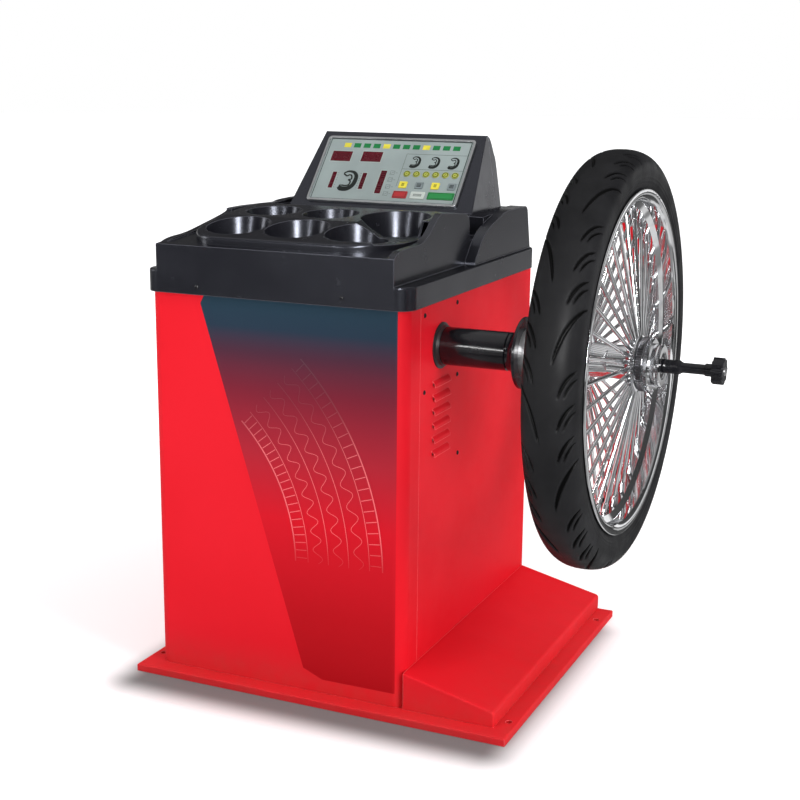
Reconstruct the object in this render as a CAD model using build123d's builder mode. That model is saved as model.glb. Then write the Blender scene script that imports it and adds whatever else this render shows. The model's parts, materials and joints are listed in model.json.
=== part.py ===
"""Motorcycle wheel balancer with a spoked wheel clamped on its spindle.

Frame: origin on the floor at the centre of the base, +X along the spindle towards the
wheel, +Y to the rear, +Z up. Millimetres.
"""
from build123d import *
from math import cos, radians, sin, tan
import os

os.makedirs("parts", exist_ok=True)

# ---- driving dimensions -------------------------------------------------------------
CAB_W = 500.0           # cabinet width, left wall to right wall
CAB_D = 620.0           # cabinet depth
CAB_H = 720.0           # floor to the top edge of the walls
FLANGE = 32.0           # base lip outside the walls
BASE_T = 14.0           # height of the base lip
SHEET = 2.0             # wall sheet
CORNER_R = 22.0         # vertical corner bends
CORNER_Y = 60.0         # how far the front panel wraps round the corners
RAMP_W = 170.0          # foot box to the right of the cabinet
RAMP_HIGH = 82.0
RAMP_LOW = 42.0
ANCHOR_D = 12.0         # floor bolt holes
ANCHOR_Y = 34.0         # first hole behind the front wall
ANCHOR_PITCH_Y = 520.0

COVER_OUT = 8.0         # cover band outside the walls
BAND_TOP = 760.0        # top of the cover band
COVER_T = 4.0           # cover wall
BODY_IN = 20.0          # upper cover set in from the walls
FRONT_TOP = 802.0       # top edge of the cover's front wall
SLOPE_TOP = 806.0       # cover top just behind the front edge
DECK_TOP = 840.0        # flat deck under the display
DECK_Y = 421.0          # where the deck begins
TRAY_X = (62.0, 456.0)  # raised weight tray set into the cover
TRAY_Y = (10.0, 288.0)
TRAY_Z0 = 790.0         # lower edge of the tray skirt
TRAY_CORNERS = (70.0, 95.0, 16.0, 16.0)  # front left, front right, rear corners
TRAY_T = 3.0            # tray wall
TRAY_TOP = ((0.0, 819.2), (150.0, 845.3), (300.0, 856.0))  # y and z along its top
SCOOP_Z = 821.0         # lowered corner in front of the large pocket
SCOOP_X = (332.0, 384.0)
SCOOP_Y = (34.0, 196.0)
POCKET_DRAFT = 14.0     # lean of the pocket walls
POCKET_FILLET = 6.0
POCKETS = (             # x, y, rim radius and floor height of each weight pocket
    (132.0, 87.0, 58.0, 797.0),
    (250.0, 87.0, 58.0, 797.0),
    (368.0, 87.0, 58.0, 797.0),
    (134.0, 214.0, 52.0, 812.0),
    (252.0, 214.0, 52.0, 812.0),
    (381.0, 216.0, 64.0, 797.0),
)

HEAD_TOP_W = 351.0      # display front, widths at the top and bottom edge
HEAD_BOT_W = 392.0
HEAD_LEAN = 41.35       # lean of the display front from vertical
HEAD_LEN = 188.0        # display front, length along its slope
HEAD_Y = 422.0          # foot of the display front
HEAD_BACK = 583.0       # rear wall of the display
HEAD_SPLIT = 556.0      # seam between the display housing and its rear cover
BEZEL_W = 323.0
BEZEL_V = (11.5, 173.0)  # bezel, distances up the slope
BEZEL_BAR = 5.0
OVERLAY_T = 3.0
KEY_GAP = 0.4

SPIN_Y = 153.0          # spindle axis behind the front wall
SPIN_Z = 638.0          # spindle axis above the floor
TUBE_R = 33.5           # spindle housing
TUBE_X = (262.0, 628.0)
SHAFT_R = 12.5
BEARING_OR = 26.0
BEARING_W = 15.0
BEARING_X = (275.0, 600.0)
BALL_R = 3.8
BALL_COUNT = 9
DISC_X = 656.0          # clamping face of the flange
DISC_R = 62.0

PULLEY_X = 213.0
PULLEY_W = 24.0
DRIVEN_R = 60.0
MOTOR_PULLEY_R = 20.0
MOTOR_Z = 420.0
BELT_T = 3.0
BELT_W = 18.0
RUN_GAP = 0.3           # clearance between parts of different bodies

WHEEL_X = 805.0         # mid plane of the wheel
TYRE_R = 348.0
TYRE_HALF = 44.5
RIM_LIP_R = 286.5
RIM_LIP_X = 42.0
SEAT_R = 271.7          # bead seat
WELL_R = 262.0
RIM_T = 3.2
SPOKES_PER_SIDE = 30
SPOKE_D = 7.0
HUB_HALF = 89.0         # hub end faces from the mid plane
SPOKE_HUB_R = 46.0
SPOKE_HUB_X = 44.0
SPOKE_RIM_X = 7.0
SPOKE_RIM_R = 252.0
AXLE_R = 10.0           # mandrel through the hub bearings
THREAD_R = 7.0          # threaded end of the mandrel
SLEEVE_X = (894.0, 924.0, 963.0)
COLLAR_X1 = 976.0
KNOB_X1 = 995.0
MANDREL_X1 = 997.0

# ---- frame helpers: x from the left wall, y from the front wall, z from the floor ----
X0 = -(CAB_W + RAMP_W) / 2
Y0 = -(CAB_D + FLANGE) / 2 + FLANGE
RAMP_X1 = CAB_W + RAMP_W
MID_X = CAB_W / 2


def level(z):
    """Horizontal sketch plane at height z; extrudes up."""
    return Plane(origin=(X0, Y0, z))


def side(x):
    """Sketch plane across the machine at x; local axes are y and z, extrudes to +X."""
    return Plane(origin=(X0 + x, Y0, 0), x_dir=(0, 1, 0), z_dir=(1, 0, 0))


def front(y):
    """Sketch plane facing the operator at y; local axes are x and z, extrudes to -Y."""
    return Plane(origin=(X0, Y0 + y, 0), x_dir=(1, 0, 0), z_dir=(0, -1, 0))


def turned(z):
    """Sketch plane through a shaft axis at height z; local axes are x and radius."""
    return Plane(origin=(X0, Y0 + SPIN_Y, z), x_dir=(1, 0, 0), z_dir=(0, -1, 0))


def across(x, z):
    """Plane square to a shaft axis at x; extrudes to +X."""
    return Plane(origin=(X0 + x, Y0 + SPIN_Y, z), x_dir=(0, 1, 0), z_dir=(1, 0, 0))


SPINDLE = Axis((X0, Y0 + SPIN_Y, SPIN_Z), (1, 0, 0))
MOTOR = Axis((X0, Y0 + SPIN_Y, MOTOR_Z), (1, 0, 0))
PANEL = Plane(
    origin=(X0 + MID_X, Y0 + HEAD_Y, DECK_TOP),
    x_dir=(1, 0, 0),
    z_dir=(0, -cos(radians(HEAD_LEAN)), sin(radians(HEAD_LEAN))),
)


def keep(piece, label):
    """Name a finished piece and write it to its own file."""
    piece.part.label = label
    export_step(piece.part, f"parts/{label}.step")


def ring(x0, x1, r_in, r_out, z=SPIN_Z):
    """Add a plain turned ring to the part being built."""
    with BuildSketch(across(x0, z)) as face:
        Circle(r_out)
        Circle(r_in, mode=Mode.SUBTRACT)
    extrude(face.sketch, amount=x1 - x0)


# ---- base ---------------------------------------------------------------------------
BASE_MID = (RAMP_X1 / 2, (CAB_D - FLANGE) / 2)
BASE_SIZE = (RAMP_X1 + 2 * FLANGE, CAB_D + FLANGE)

ANCHORS = [(x, ANCHOR_Y + dy) for x in (-FLANGE / 2, RAMP_X1 + FLANGE / 2)
           for dy in (0, ANCHOR_PITCH_Y)]

with BuildPart() as base_pan:
    with BuildSketch(level(0)):
        with Locations(BASE_MID):
            Rectangle(*BASE_SIZE)
    extrude(amount=BASE_T)
    fillet(base_pan.faces().sort_by(Axis.Z)[-1].edges(), 3)
    with BuildSketch(level(0)):
        with Locations(BASE_MID):
            Rectangle(BASE_SIZE[0] - 6, BASE_SIZE[1] - 6)
    extrude(amount=BASE_T - 3, mode=Mode.SUBTRACT)
    # welded sleeves carry the floor bolts' load
    with BuildSketch(level(0)):
        with Locations(*ANCHORS):
            Circle(ANCHOR_D / 2 + 5)
    extrude(amount=BASE_T - 2)
    with BuildSketch(level(0)):
        with Locations(*ANCHORS):
            Circle(ANCHOR_D / 2)
    extrude(amount=BASE_T, mode=Mode.SUBTRACT)
keep(base_pan, "base_pan")

with BuildPart() as ramp_cover:
    with BuildSketch(front(0)):
        with BuildLine():
            Polyline((CAB_W, BASE_T), (RAMP_X1, BASE_T), (RAMP_X1, RAMP_LOW),
                     (CAB_W, RAMP_HIGH), close=True)
        make_face()
    extrude(amount=-CAB_D)
    fillet(ramp_cover.edges().filter_by(Axis.Y).group_by(Axis.X)[-1].sort_by(Axis.Z)[-1], 7)
    fillet(ramp_cover.faces().sort_by(Axis.Y)[0].edges().group_by(Axis.Z)[-1], 4)
    with BuildSketch(front(SHEET)):
        with BuildLine():
            Polyline((CAB_W + SHEET, BASE_T), (RAMP_X1 - SHEET, BASE_T),
                     (RAMP_X1 - SHEET, RAMP_LOW - 3 * SHEET),
                     (CAB_W + SHEET, RAMP_HIGH - 2 * SHEET), close=True)
        make_face()
    extrude(amount=-(CAB_D - 2 * SHEET), mode=Mode.SUBTRACT)
keep(ramp_cover, "ramp_cover")

# ---- cabinet walls ------------------------------------------------------------------
WALL_H = CAB_H - BASE_T

with BuildPart() as front_panel:
    with BuildSketch(level(BASE_T)):
        with BuildLine():
            FilletPolyline((0, CORNER_Y), (0, 0), (CAB_W, 0), (CAB_W, CORNER_Y),
                           radius=CORNER_R)
            offset(amount=SHEET, side=Side.LEFT)
        make_face()
    extrude(amount=WALL_H)
keep(front_panel, "front_panel")

with BuildPart() as left_panel:
    with BuildSketch(side(0)):
        with Locations(((CORNER_Y + CAB_D) / 2, BASE_T + WALL_H / 2)):
            Rectangle(CAB_D - CORNER_Y, WALL_H)
    extrude(amount=SHEET)
keep(left_panel, "left_panel")

LOUVRE_Y = 151.0
LOUVRE_LEN = 72.0
LOUVRE_Z = [575.0 - 25.0 * i for i in range(6)]
LOUVRE_OUT = 6.0
LOUVRE_H = 12.0
SCREW_R = 2.0
SIDE_SCREWS = ((77.0, 702.0), (223.0, 704.0), (78.0, 568.0), (228.0, 572.0), (237.0, 423.0))

with BuildPart() as right_panel:
    with BuildSketch(side(CAB_W - SHEET)):
        with Locations(((CORNER_Y + CAB_D) / 2, BASE_T + WALL_H / 2)):
            Rectangle(CAB_D - CORNER_Y, WALL_H)
        with Locations((SPIN_Y, SPIN_Z)):
            Circle(TUBE_R + 3, mode=Mode.SUBTRACT)
        with Locations(*[(LOUVRE_Y, z) for z in LOUVRE_Z]):
            Rectangle(LOUVRE_LEN - 6, LOUVRE_H - 4, mode=Mode.SUBTRACT)
        with Locations(*SIDE_SCREWS):
            Circle(SCREW_R, mode=Mode.SUBTRACT)
    extrude(amount=SHEET)
    with BuildSketch(front(LOUVRE_Y - LOUVRE_LEN / 2)):
        for z in LOUVRE_Z:
            with BuildLine():
                low = Line((CAB_W + LOUVRE_OUT - 1.5, z - LOUVRE_H / 2),
                           (CAB_W + LOUVRE_OUT, z - LOUVRE_H / 2))
                hood = Spline(low @ 1, (CAB_W + LOUVRE_OUT * 0.72, z + 1),
                              (CAB_W, z + LOUVRE_H / 2), tangents=((0, 1), (-0.6, 1)))
                Line(hood @ 1, (CAB_W - SHEET, z + LOUVRE_H / 2))
                Line((CAB_W - SHEET, z + LOUVRE_H / 2), (CAB_W - SHEET, z + LOUVRE_H / 2 - 2))
                Spline((CAB_W - SHEET, z + LOUVRE_H / 2 - 2),
                       (CAB_W + LOUVRE_OUT * 0.72 - 1.5, z + 0.2), low @ 0)
            make_face()
    extrude(amount=-LOUVRE_LEN)
keep(right_panel, "right_panel")

INLET_X = 95.0
INLET_Z = 150.0
INLET_W = 48.0
INLET_H = 60.0

with BuildPart() as rear_panel:
    with BuildSketch(front(CAB_D)):
        with Locations((MID_X, BASE_T + WALL_H / 2)):
            Rectangle(CAB_W - 2 * SHEET, WALL_H)
        with Locations((INLET_X, INLET_Z)):
            Rectangle(INLET_W - 8, INLET_H - 8, mode=Mode.SUBTRACT)
        with Locations((MID_X, 560)):
            with GridLocations(36, 16, 7, 5):
                SlotOverall(26, 5, mode=Mode.SUBTRACT)
    extrude(amount=SHEET)
keep(rear_panel, "rear_panel")

FRONT_SCREWS = ((102.0, 734.0), (385.0, 735.0))
REAR_SCREWS = [(x, z) for x in (14.0, CAB_W - 14.0) for z in (60.0, 380.0, 700.0)]

with BuildPart() as case_screws:
    with BuildSketch(side(CAB_W)):
        with Locations(*SIDE_SCREWS):
            Circle(4.2)
    extrude(amount=2.4)
    with BuildSketch(side(CAB_W - 8)):
        with Locations(*SIDE_SCREWS):
            Circle(SCREW_R)
    extrude(amount=8)
    with BuildSketch(front(-COVER_OUT)):
        with Locations(*FRONT_SCREWS):
            Circle(4.2)
    extrude(amount=2.2)
    with BuildSketch(front(CAB_D)):
        with Locations(*REAR_SCREWS):
            Circle(4.2)
    extrude(amount=-2.4)
    fillet(case_screws.edges().filter_by(GeomType.CIRCLE).filter_by(lambda e: e.radius > 4), 1.0)
keep(case_screws, "case_screws")

with BuildPart() as power_inlet:
    with BuildSketch(front(CAB_D)):
        with Locations((INLET_X, INLET_Z)):
            RectangleRounded(INLET_W, INLET_H, 4)
    extrude(amount=-3)
    with BuildSketch(front(CAB_D)):
        with Locations((INLET_X, INLET_Z)):
            Rectangle(INLET_W - 9, INLET_H - 9)
    extrude(amount=30)
    with BuildSketch(front(CAB_D + 3)):
        with Locations((INLET_X, INLET_Z - 14)):
            RectangleRounded(26, 18, 4)
    extrude(amount=18, mode=Mode.SUBTRACT)
    with BuildSketch(front(CAB_D + 3)):
        with Locations((INLET_X, INLET_Z + 15)):
            Rectangle(27, 19)
    extrude(amount=12, mode=Mode.SUBTRACT)
    with BuildSketch(front(CAB_D - 14.5)):
        with Locations((INLET_X - 7, INLET_Z - 12), (INLET_X, INLET_Z - 16),
                       (INLET_X + 7, INLET_Z - 12)):
            Rectangle(2, 5)
    extrude(amount=-13)
keep(power_inlet, "power_inlet")

with BuildPart() as mains_rocker:
    with BuildSketch(side(INLET_X - 12.5)):
        with BuildLine():
            Polyline((CAB_D - 7.5, INLET_Z + 6.4), (CAB_D + 4.2, INLET_Z + 7.6),
                     (CAB_D + 2.4, INLET_Z + 15), (CAB_D + 3.4, INLET_Z + 22.4),
                     (CAB_D - 7.5, INLET_Z + 23.6), close=True)
        make_face()
    extrude(amount=25)
    fillet(mains_rocker.edges().filter_by(Axis.X).group_by(Axis.Y)[-1], 1)
keep(mains_rocker, "mains_rocker")

# ---- top cover ----------------------------------------------------------------------
UPPER_X = (BODY_IN, CAB_W - BODY_IN)
BAND_H = BAND_TOP - CAB_H
BAND_Y = (-COVER_OUT, CAB_D + COVER_OUT)
NOTCH_Y = (328.0, 398.0)
NOTCH_X = 440.0
WALL_FOOT = BAND_TOP - 5  # upper walls start below the band's rounded top edge
SIDE_T = 12.0           # thickness of the raised side walls


def slope_z(y):
    """Height of the sloping cover top at y."""
    return SLOPE_TOP + (DECK_TOP - SLOPE_TOP) * (y + COVER_OUT) / (DECK_Y + COVER_OUT)


def box_between(x, y, z, mode=Mode.ADD):
    """Add or cut a plain block between pairs of limits."""
    with BuildSketch(level(z[0])) as face:
        with Locations(((x[0] + x[1]) / 2, (y[0] + y[1]) / 2)):
            Rectangle(x[1] - x[0], y[1] - y[0])
    extrude(face.sketch, amount=z[1] - z[0], mode=mode)


def side_wall(x, outline, mode=Mode.ADD):
    """Extrude a closed side outline between two x limits."""
    with BuildSketch(side(x[0])) as face:
        with BuildLine() as edge:
            outline()
        make_face(edge.edges())
    extrude(face.sketch, amount=x[1] - x[0], mode=mode)


def upper_outline():
    """Front edge, sloping top, deck and rear of the upper cover."""
    Polyline((BAND_Y[0], WALL_FOOT), (BAND_Y[0], SLOPE_TOP), (DECK_Y, DECK_TOP),
             (CAB_D - 16, DECK_TOP), (BAND_Y[1] - 6, WALL_FOOT), close=True)


def left_outline():
    """Left side wall: a long rise from the front edge to the deck."""
    low = Line((BAND_Y[0], WALL_FOOT), (BAND_Y[0], FRONT_TOP - 4))
    rise = Spline(low @ 1, (8, 807), (74, 815), (144, 825), (235, 844), (293, 848),
                  tangents=((1, 1), (1, 0)))
    back = Polyline(rise @ 1, (420, 845), (478, 849), (578, 849), (606, WALL_FOOT))
    Line(back @ 1, low @ 0)


def right_outline():
    """Right side wall: low at the front, a flat-topped fin, then a sheer rear edge."""
    low = Line((BAND_Y[0], WALL_FOOT), (BAND_Y[0], FRONT_TOP))
    toe = Spline(low @ 1, (30, 817), (77, 818), (118, 823), tangents=((0.5, 1), (1, 0.3)))
    ramp = Spline(toe @ 1, (150, 838), (184, 860), (200, 863), tangents=((1, 0.3), (1, 0)))
    crown = Line(ramp @ 1, (300, 854))
    nose = TangentArc(crown @ 1, (NOTCH_Y[0], 836), tangent=(1, -0.09))
    Line(nose @ 1, (NOTCH_Y[0], WALL_FOOT))
    Line((NOTCH_Y[0], WALL_FOOT), low @ 0)


def wing_outline():
    """Outer wing beside the display, rising in a curve from the ledge."""
    low = Line((600, BAND_TOP - 2), (306, BAND_TOP - 2))
    rise = Spline(low @ 1, (316, 776), (342, 802), (393, 826), (440, 838), (500, 845),
                  tangents=((0.05, 1), (1, 0.02)))
    back = Line(rise @ 1, (576, 845))
    nose = RadiusArc(back @ 1, (592, 832), 16)
    tail = Line(nose @ 1, (610, BAND_TOP - 2))
    Line(tail @ 1, low @ 0)


def tray_outline(inset):
    """Plan of the weight tray, wide round corners at the front."""
    x0, x1 = TRAY_X[0] + inset, TRAY_X[1] - inset
    y0, y1 = TRAY_Y[0] + inset, TRAY_Y[1] - inset
    with BuildSketch(level(TRAY_Z0)) as plan:
        with BuildLine() as edge:
            FilletPolyline((x0, y0), (x1, y0), (x1, y1), (x0, y1),
                           radius=[r - inset for r in TRAY_CORNERS], close=True)
        make_face(edge.edges())
    return plan.sketch


with BuildPart() as top_cover:
    with BuildSketch(level(CAB_H)):
        with Locations((MID_X, CAB_D / 2)):
            RectangleRounded(CAB_W + 2 * COVER_OUT, CAB_D + 2 * COVER_OUT,
                             CORNER_R + COVER_OUT)
    extrude(amount=BAND_H)
    fillet(top_cover.faces().sort_by(Axis.Z)[-1].edges(), 3)
    side_wall(UPPER_X, upper_outline)
    side_wall((UPPER_X[0], UPPER_X[0] + SIDE_T), left_outline)
    side_wall((UPPER_X[1] - SIDE_T, UPPER_X[1]), right_outline)
    side_wall((0, UPPER_X[0] + SIDE_T), wing_outline)
    side_wall((UPPER_X[1] - SIDE_T, CAB_W), wing_outline)
    box_between((NOTCH_X, UPPER_X[1]), NOTCH_Y, (803, 900), Mode.SUBTRACT)
    # hollow underside
    for z, height, inset in ((CAB_H, COVER_T, 6), (CAB_H + COVER_T, BAND_H - 2 * COVER_T,
                                                   COVER_T - COVER_OUT)):
        with BuildSketch(level(z)):
            with Locations((MID_X, CAB_D / 2)):
                RectangleRounded(CAB_W - 2 * inset, CAB_D - 2 * inset, CORNER_R - inset)
        extrude(amount=height, mode=Mode.SUBTRACT)
    with BuildSketch(side(UPPER_X[0] + COVER_T)):
        with BuildLine():
            Polyline((BAND_Y[0] + COVER_T, BAND_TOP - 5),
                     (BAND_Y[0] + COVER_T, slope_z(BAND_Y[0]) - COVER_T),
                     (NOTCH_Y[0] - 20, 798), (NOTCH_Y[1] + 10, 798),
                     (DECK_Y, DECK_TOP - COVER_T), (CAB_D - 20, DECK_TOP - COVER_T),
                     (CAB_D - 4, BAND_TOP - 5), close=True)
        make_face()
    extrude(amount=UPPER_X[1] - UPPER_X[0] - 2 * COVER_T, mode=Mode.SUBTRACT)
    # opening for the weight tray, and the display's cable hole in the deck
    extrude(tray_outline(0), amount=900 - TRAY_Z0, mode=Mode.SUBTRACT)
    box_between((MID_X - 40, MID_X + 40), (500, 540), (800, 900), Mode.SUBTRACT)
keep(top_cover, "top_cover")

def pocket_floor_r(y, r, floor):
    """Floor radius of a pocket whose drafted wall has radius r at the tray's top."""
    (y0, z0), (y1, z1), (y2, z2) = TRAY_TOP
    if y < y1:
        top = z0 + (z1 - z0) * (y - y0) / (y1 - y0)
    else:
        top = z1 + (z2 - z1) * (y - y1) / (y2 - y1)
    return r - (top - floor) * tan(radians(POCKET_DRAFT))


def tray_form(inset):
    """Solid tray shape with its bent top and lowered corner, shrunk by inset."""
    extrude(tray_outline(inset), amount=100)
    with BuildSketch(side(0)) as profile:
        with BuildLine() as edge:
            Polyline((0, TRAY_Z0), *[(y, z - inset) for y, z in TRAY_TOP], (300, TRAY_Z0),
                     close=True)
        make_face(edge.edges())
    extrude(profile.sketch, amount=CAB_W, mode=Mode.INTERSECT)
    with BuildSketch(front(SCOOP_Y[0])) as scoop:
        with BuildLine() as edge:
            Polyline((SCOOP_X[0], 848 - inset), (SCOOP_X[1], SCOOP_Z - inset),
                     (CAB_W, SCOOP_Z - inset), (CAB_W, 900), (SCOOP_X[0], 900), close=True)
        make_face(edge.edges())
    extrude(scoop.sketch, amount=SCOOP_Y[0] - SCOOP_Y[1], mode=Mode.SUBTRACT)


with BuildPart() as tray_void:
    tray_form(TRAY_T)
    for x, y, r, floor in POCKETS:
        with BuildSketch(level(floor - TRAY_T)):
            with Locations((x, y)):
                Circle(pocket_floor_r(y, r, floor) + TRAY_T)
        extrude(amount=100, taper=-POCKET_DRAFT, mode=Mode.SUBTRACT)

with BuildPart() as weight_tray:
    tray_form(0)
    fillet(weight_tray.faces().filter_by(lambda f: f.normal_at().Z > 0.9).edges().filter_by(
        lambda e: e.center().Y < Y0 + 30), 5)
    add(tray_void.part, mode=Mode.SUBTRACT)
    for x, y, r, floor in POCKETS:
        with BuildSketch(level(floor)):
            with Locations((x, y)):
                Circle(pocket_floor_r(y, r, floor))
        extrude(amount=100, taper=-POCKET_DRAFT, mode=Mode.SUBTRACT)
    floors = weight_tray.faces().filter_by(lambda f: f.normal_at().Z > 0.999)
    fillet(floors.filter_by(lambda f: f.center().Z < SCOOP_Z - 5).edges(), POCKET_FILLET)
keep(weight_tray, "weight_tray")

# ---- display head -------------------------------------------------------------------
LEAN_Y = HEAD_LEN * sin(radians(HEAD_LEAN))
LEAN_Z = HEAD_LEN * cos(radians(HEAD_LEAN))
HEAD_Z0 = DECK_TOP
HEAD_Z1 = HEAD_Z0 + LEAN_Z
PANEL_OUT = Axis(PANEL.origin, PANEL.z_dir)
HEAD_T = 4.0
HEAD_X = ((CAB_W - HEAD_BOT_W) / 2, (CAB_W + HEAD_BOT_W) / 2)


def head_outline(inset):
    """Side outline of the display: leaning front, rounded top, upright back."""
    lean = radians(HEAD_LEAN)
    shift = inset / cos(lean)
    foot = (HEAD_Y + shift, HEAD_Z0)
    tip = (HEAD_Y + LEAN_Y + shift - inset * tan(lean), HEAD_Z1 - inset)
    face = Line(foot, tip)
    back = Spline(face @ 1, (566 - inset * 0.6, 972 - inset), (577 - inset, 945),
                  (HEAD_BACK - inset, 905), tangents=((1, 0), (0, -1)))
    drop = Line(back @ 1, (HEAD_BACK - inset, HEAD_Z0))
    Line(drop @ 1, foot)


def head_block(inset):
    """Solid display shape, taller sides drawn in towards the top."""
    with BuildSketch(side(HEAD_X[0])) as profile:
        with BuildLine() as edge:
            head_outline(inset)
        make_face(edge.edges())
    extrude(profile.sketch, amount=HEAD_BOT_W)
    draw_in = (HEAD_BOT_W - HEAD_TOP_W) / 2
    with BuildSketch(front(HEAD_BACK + 10)) as taper:
        with BuildLine() as edge:
            Polyline((HEAD_X[0] + inset, HEAD_Z0), (HEAD_X[1] - inset, HEAD_Z0),
                     (HEAD_X[1] - draw_in - inset, HEAD_Z1), (HEAD_X[0] + draw_in + inset, HEAD_Z1),
                     close=True)
        make_face(edge.edges())
    extrude(taper.sketch, amount=HEAD_BACK - HEAD_Y + 20, mode=Mode.INTERSECT)


BEZEL_MID = (0, (BEZEL_V[0] + BEZEL_V[1]) / 2)
BEZEL_H = BEZEL_V[1] - BEZEL_V[0]
WINDOW_W = BEZEL_W - 2 * BEZEL_BAR
WINDOW_H = BEZEL_H - 2 * BEZEL_BAR
DIGITS = ((-118.5, 123.5, 44.0, 25.0), (-51.5, 124.5, 44.0, 25.0))
BARS = ((-119.5, 64.0, 9.5, 40.0), (-53.0, 64.0, 9.5, 40.0), (-13.0, 63.5, 13.0, 56.0))
ROUND_KEYS = [(37.0 + 20.4 * i, 86.0) for i in range(6)]
ROUND_KEY_R = 7.2
SQUARE_KEYS = [(36.5 + 34.3 * i, 59.0) for i in range(4)]
SQUARE_KEY = (17.0, 16.0)
KEY_STOP = (36.8, 35.0, 30.0, 17.0)
KEY_CLEAR = (74.2, 35.0, 30.0, 17.0)
KEY_START = (123.0, 35.5, 55.0, 17.0)
WIDE_KEYS = (("key_stop", KEY_STOP), ("key_clear", KEY_CLEAR), ("key_start", KEY_START))

with BuildPart() as head_solid:
    head_block(0)
with BuildPart() as head_hollow:
    head_block(HEAD_T)
with BuildPart() as head_shell:
    add(head_solid.part)
    fillet(head_shell.faces().sort_by(SortBy.AREA)[-1].edges().filter_by(
        lambda e: abs(e.tangent_at(0.5).Z) > 0.3), 2)
    add(head_hollow.part, mode=Mode.SUBTRACT)
    with BuildSketch(PANEL.offset(1)):
        with Locations(BEZEL_MID):
            Rectangle(WINDOW_W - 14, WINDOW_H - 14)
    extrude(amount=-12, mode=Mode.SUBTRACT)

SEAM = Plane(origin=(X0, Y0 + HEAD_SPLIT, 0), x_dir=(1, 0, 0), z_dir=(0, -1, 0))

with BuildPart() as display_housing:
    add(head_shell.part)
    split(bisect_by=SEAM, keep=Keep.TOP)
keep(display_housing, "display_housing")

with BuildPart() as display_back:
    add(head_shell.part)
    split(bisect_by=SEAM.offset(-0.6), keep=Keep.BOTTOM)
    with BuildSketch(front(HEAD_BACK - HEAD_T - 1)):
        with Locations((MID_X, 880)):
            with GridLocations(40, 12, 5, 4):
                SlotOverall(30, 4)
    extrude(amount=-HEAD_T - 4, mode=Mode.SUBTRACT)
keep(display_back, "display_back")

with BuildPart() as display_bezel:
    with BuildSketch(PANEL):
        with Locations(BEZEL_MID):
            RectangleRounded(BEZEL_W, BEZEL_H, 8)
            RectangleRounded(WINDOW_W, WINDOW_H, 4, mode=Mode.SUBTRACT)
    extrude(amount=OVERLAY_T + 2.5)
    fillet(display_bezel.faces().sort_by(PANEL_OUT)[-1].edges(), 1.2)
keep(display_bezel, "display_bezel")

with BuildPart() as display_overlay:
    with BuildSketch(PANEL):
        with Locations(BEZEL_MID):
            RectangleRounded(WINDOW_W, WINDOW_H, 4)
        for u, v, w, h in DIGITS + BARS:
            with Locations((u, v)):
                Rectangle(w, h, mode=Mode.SUBTRACT)
        with Locations(*ROUND_KEYS):
            Circle(ROUND_KEY_R + KEY_GAP, mode=Mode.SUBTRACT)
        with Locations(*SQUARE_KEYS):
            RectangleRounded(SQUARE_KEY[0] + 2 * KEY_GAP, SQUARE_KEY[1] + 2 * KEY_GAP,
                             2 + KEY_GAP, mode=Mode.SUBTRACT)
        for label, (u, v, w, h) in WIDE_KEYS:
            with Locations((u, v)):
                RectangleRounded(w + 2 * KEY_GAP, h + 2 * KEY_GAP, 2 + KEY_GAP,
                                 mode=Mode.SUBTRACT)
    extrude(amount=OVERLAY_T)
keep(display_overlay, "display_overlay")

with BuildPart() as led_windows:
    with BuildSketch(PANEL):
        for u, v, w, h in DIGITS + BARS:
            with Locations((u, v)):
                Rectangle(w, h)
    extrude(amount=OVERLAY_T - 0.3)
keep(led_windows, "led_windows")

KEY_BASE = 0.9          # underside of a key above the panel plane
KEY_H = 3.3


def key_cap(label, u, v, size):
    """One push key: round when size is a radius, otherwise width by height."""
    with BuildPart() as cap:
        with BuildSketch(PANEL.offset(KEY_BASE)):
            with Locations((u, v)):
                if isinstance(size, tuple):
                    RectangleRounded(size[0], size[1], 2)
                else:
                    Circle(size)
        extrude(amount=KEY_H)
        fillet(cap.faces().sort_by(PANEL_OUT)[-1].edges(), 0.9)
    keep(cap, label)


for index, (u, v) in enumerate(ROUND_KEYS, 1):
    key_cap(f"key_round_{index}", u, v, ROUND_KEY_R)
for index, (u, v) in enumerate(SQUARE_KEYS, 1):
    key_cap(f"key_square_{index}", u, v, SQUARE_KEY)
for label, (u, v, w, h) in WIDE_KEYS:
    key_cap(label, u, v, (w, h))

BOARD_N = -12.0         # back face of the display board below the panel plane
BOARD_T = 1.6

with BuildPart() as display_board:
    with BuildSketch(PANEL.offset(BOARD_N)):
        with Locations(BEZEL_MID):
            Rectangle(BEZEL_W - 8, BEZEL_H - 8)
    extrude(amount=BOARD_T)
    with BuildSketch(PANEL.offset(BOARD_N + BOARD_T)):
        with Locations(*[(u, BEZEL_MID[1] + v) for u in (-153.5, 153.5) for v in (-73, 73)]):
            Circle(3)
    extrude(amount=-BOARD_N - BOARD_T - HEAD_T)
    with BuildSketch(PANEL.offset(BOARD_N + BOARD_T)):
        with Locations(*ROUND_KEYS, *SQUARE_KEYS, *[(k[1][0], k[1][1]) for k in WIDE_KEYS]):
            Circle(2.5)
        for u, v, w, h in DIGITS + BARS:
            with Locations((u, v)):
                Rectangle(w, h)
    extrude(amount=-BOARD_N - BOARD_T - 0.3)
    with BuildSketch(PANEL.offset(BOARD_N - 6)):
        with Locations((-90, 60), (20, 80), (95, 70)):
            Rectangle(38, 22)
    extrude(amount=6)
keep(display_board, "display_board")

# ---- spindle support inside the cabinet ---------------------------------------------
PLATE_T = 6.0
PLATE_Y = 86.0          # pedestal plates, either side of the spindle plane
BRIDGE_Z = 560.0
BRIDGE_T = 12.0
SADDLE_Z = 584.0
SHELF_Z = 350.0

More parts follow.
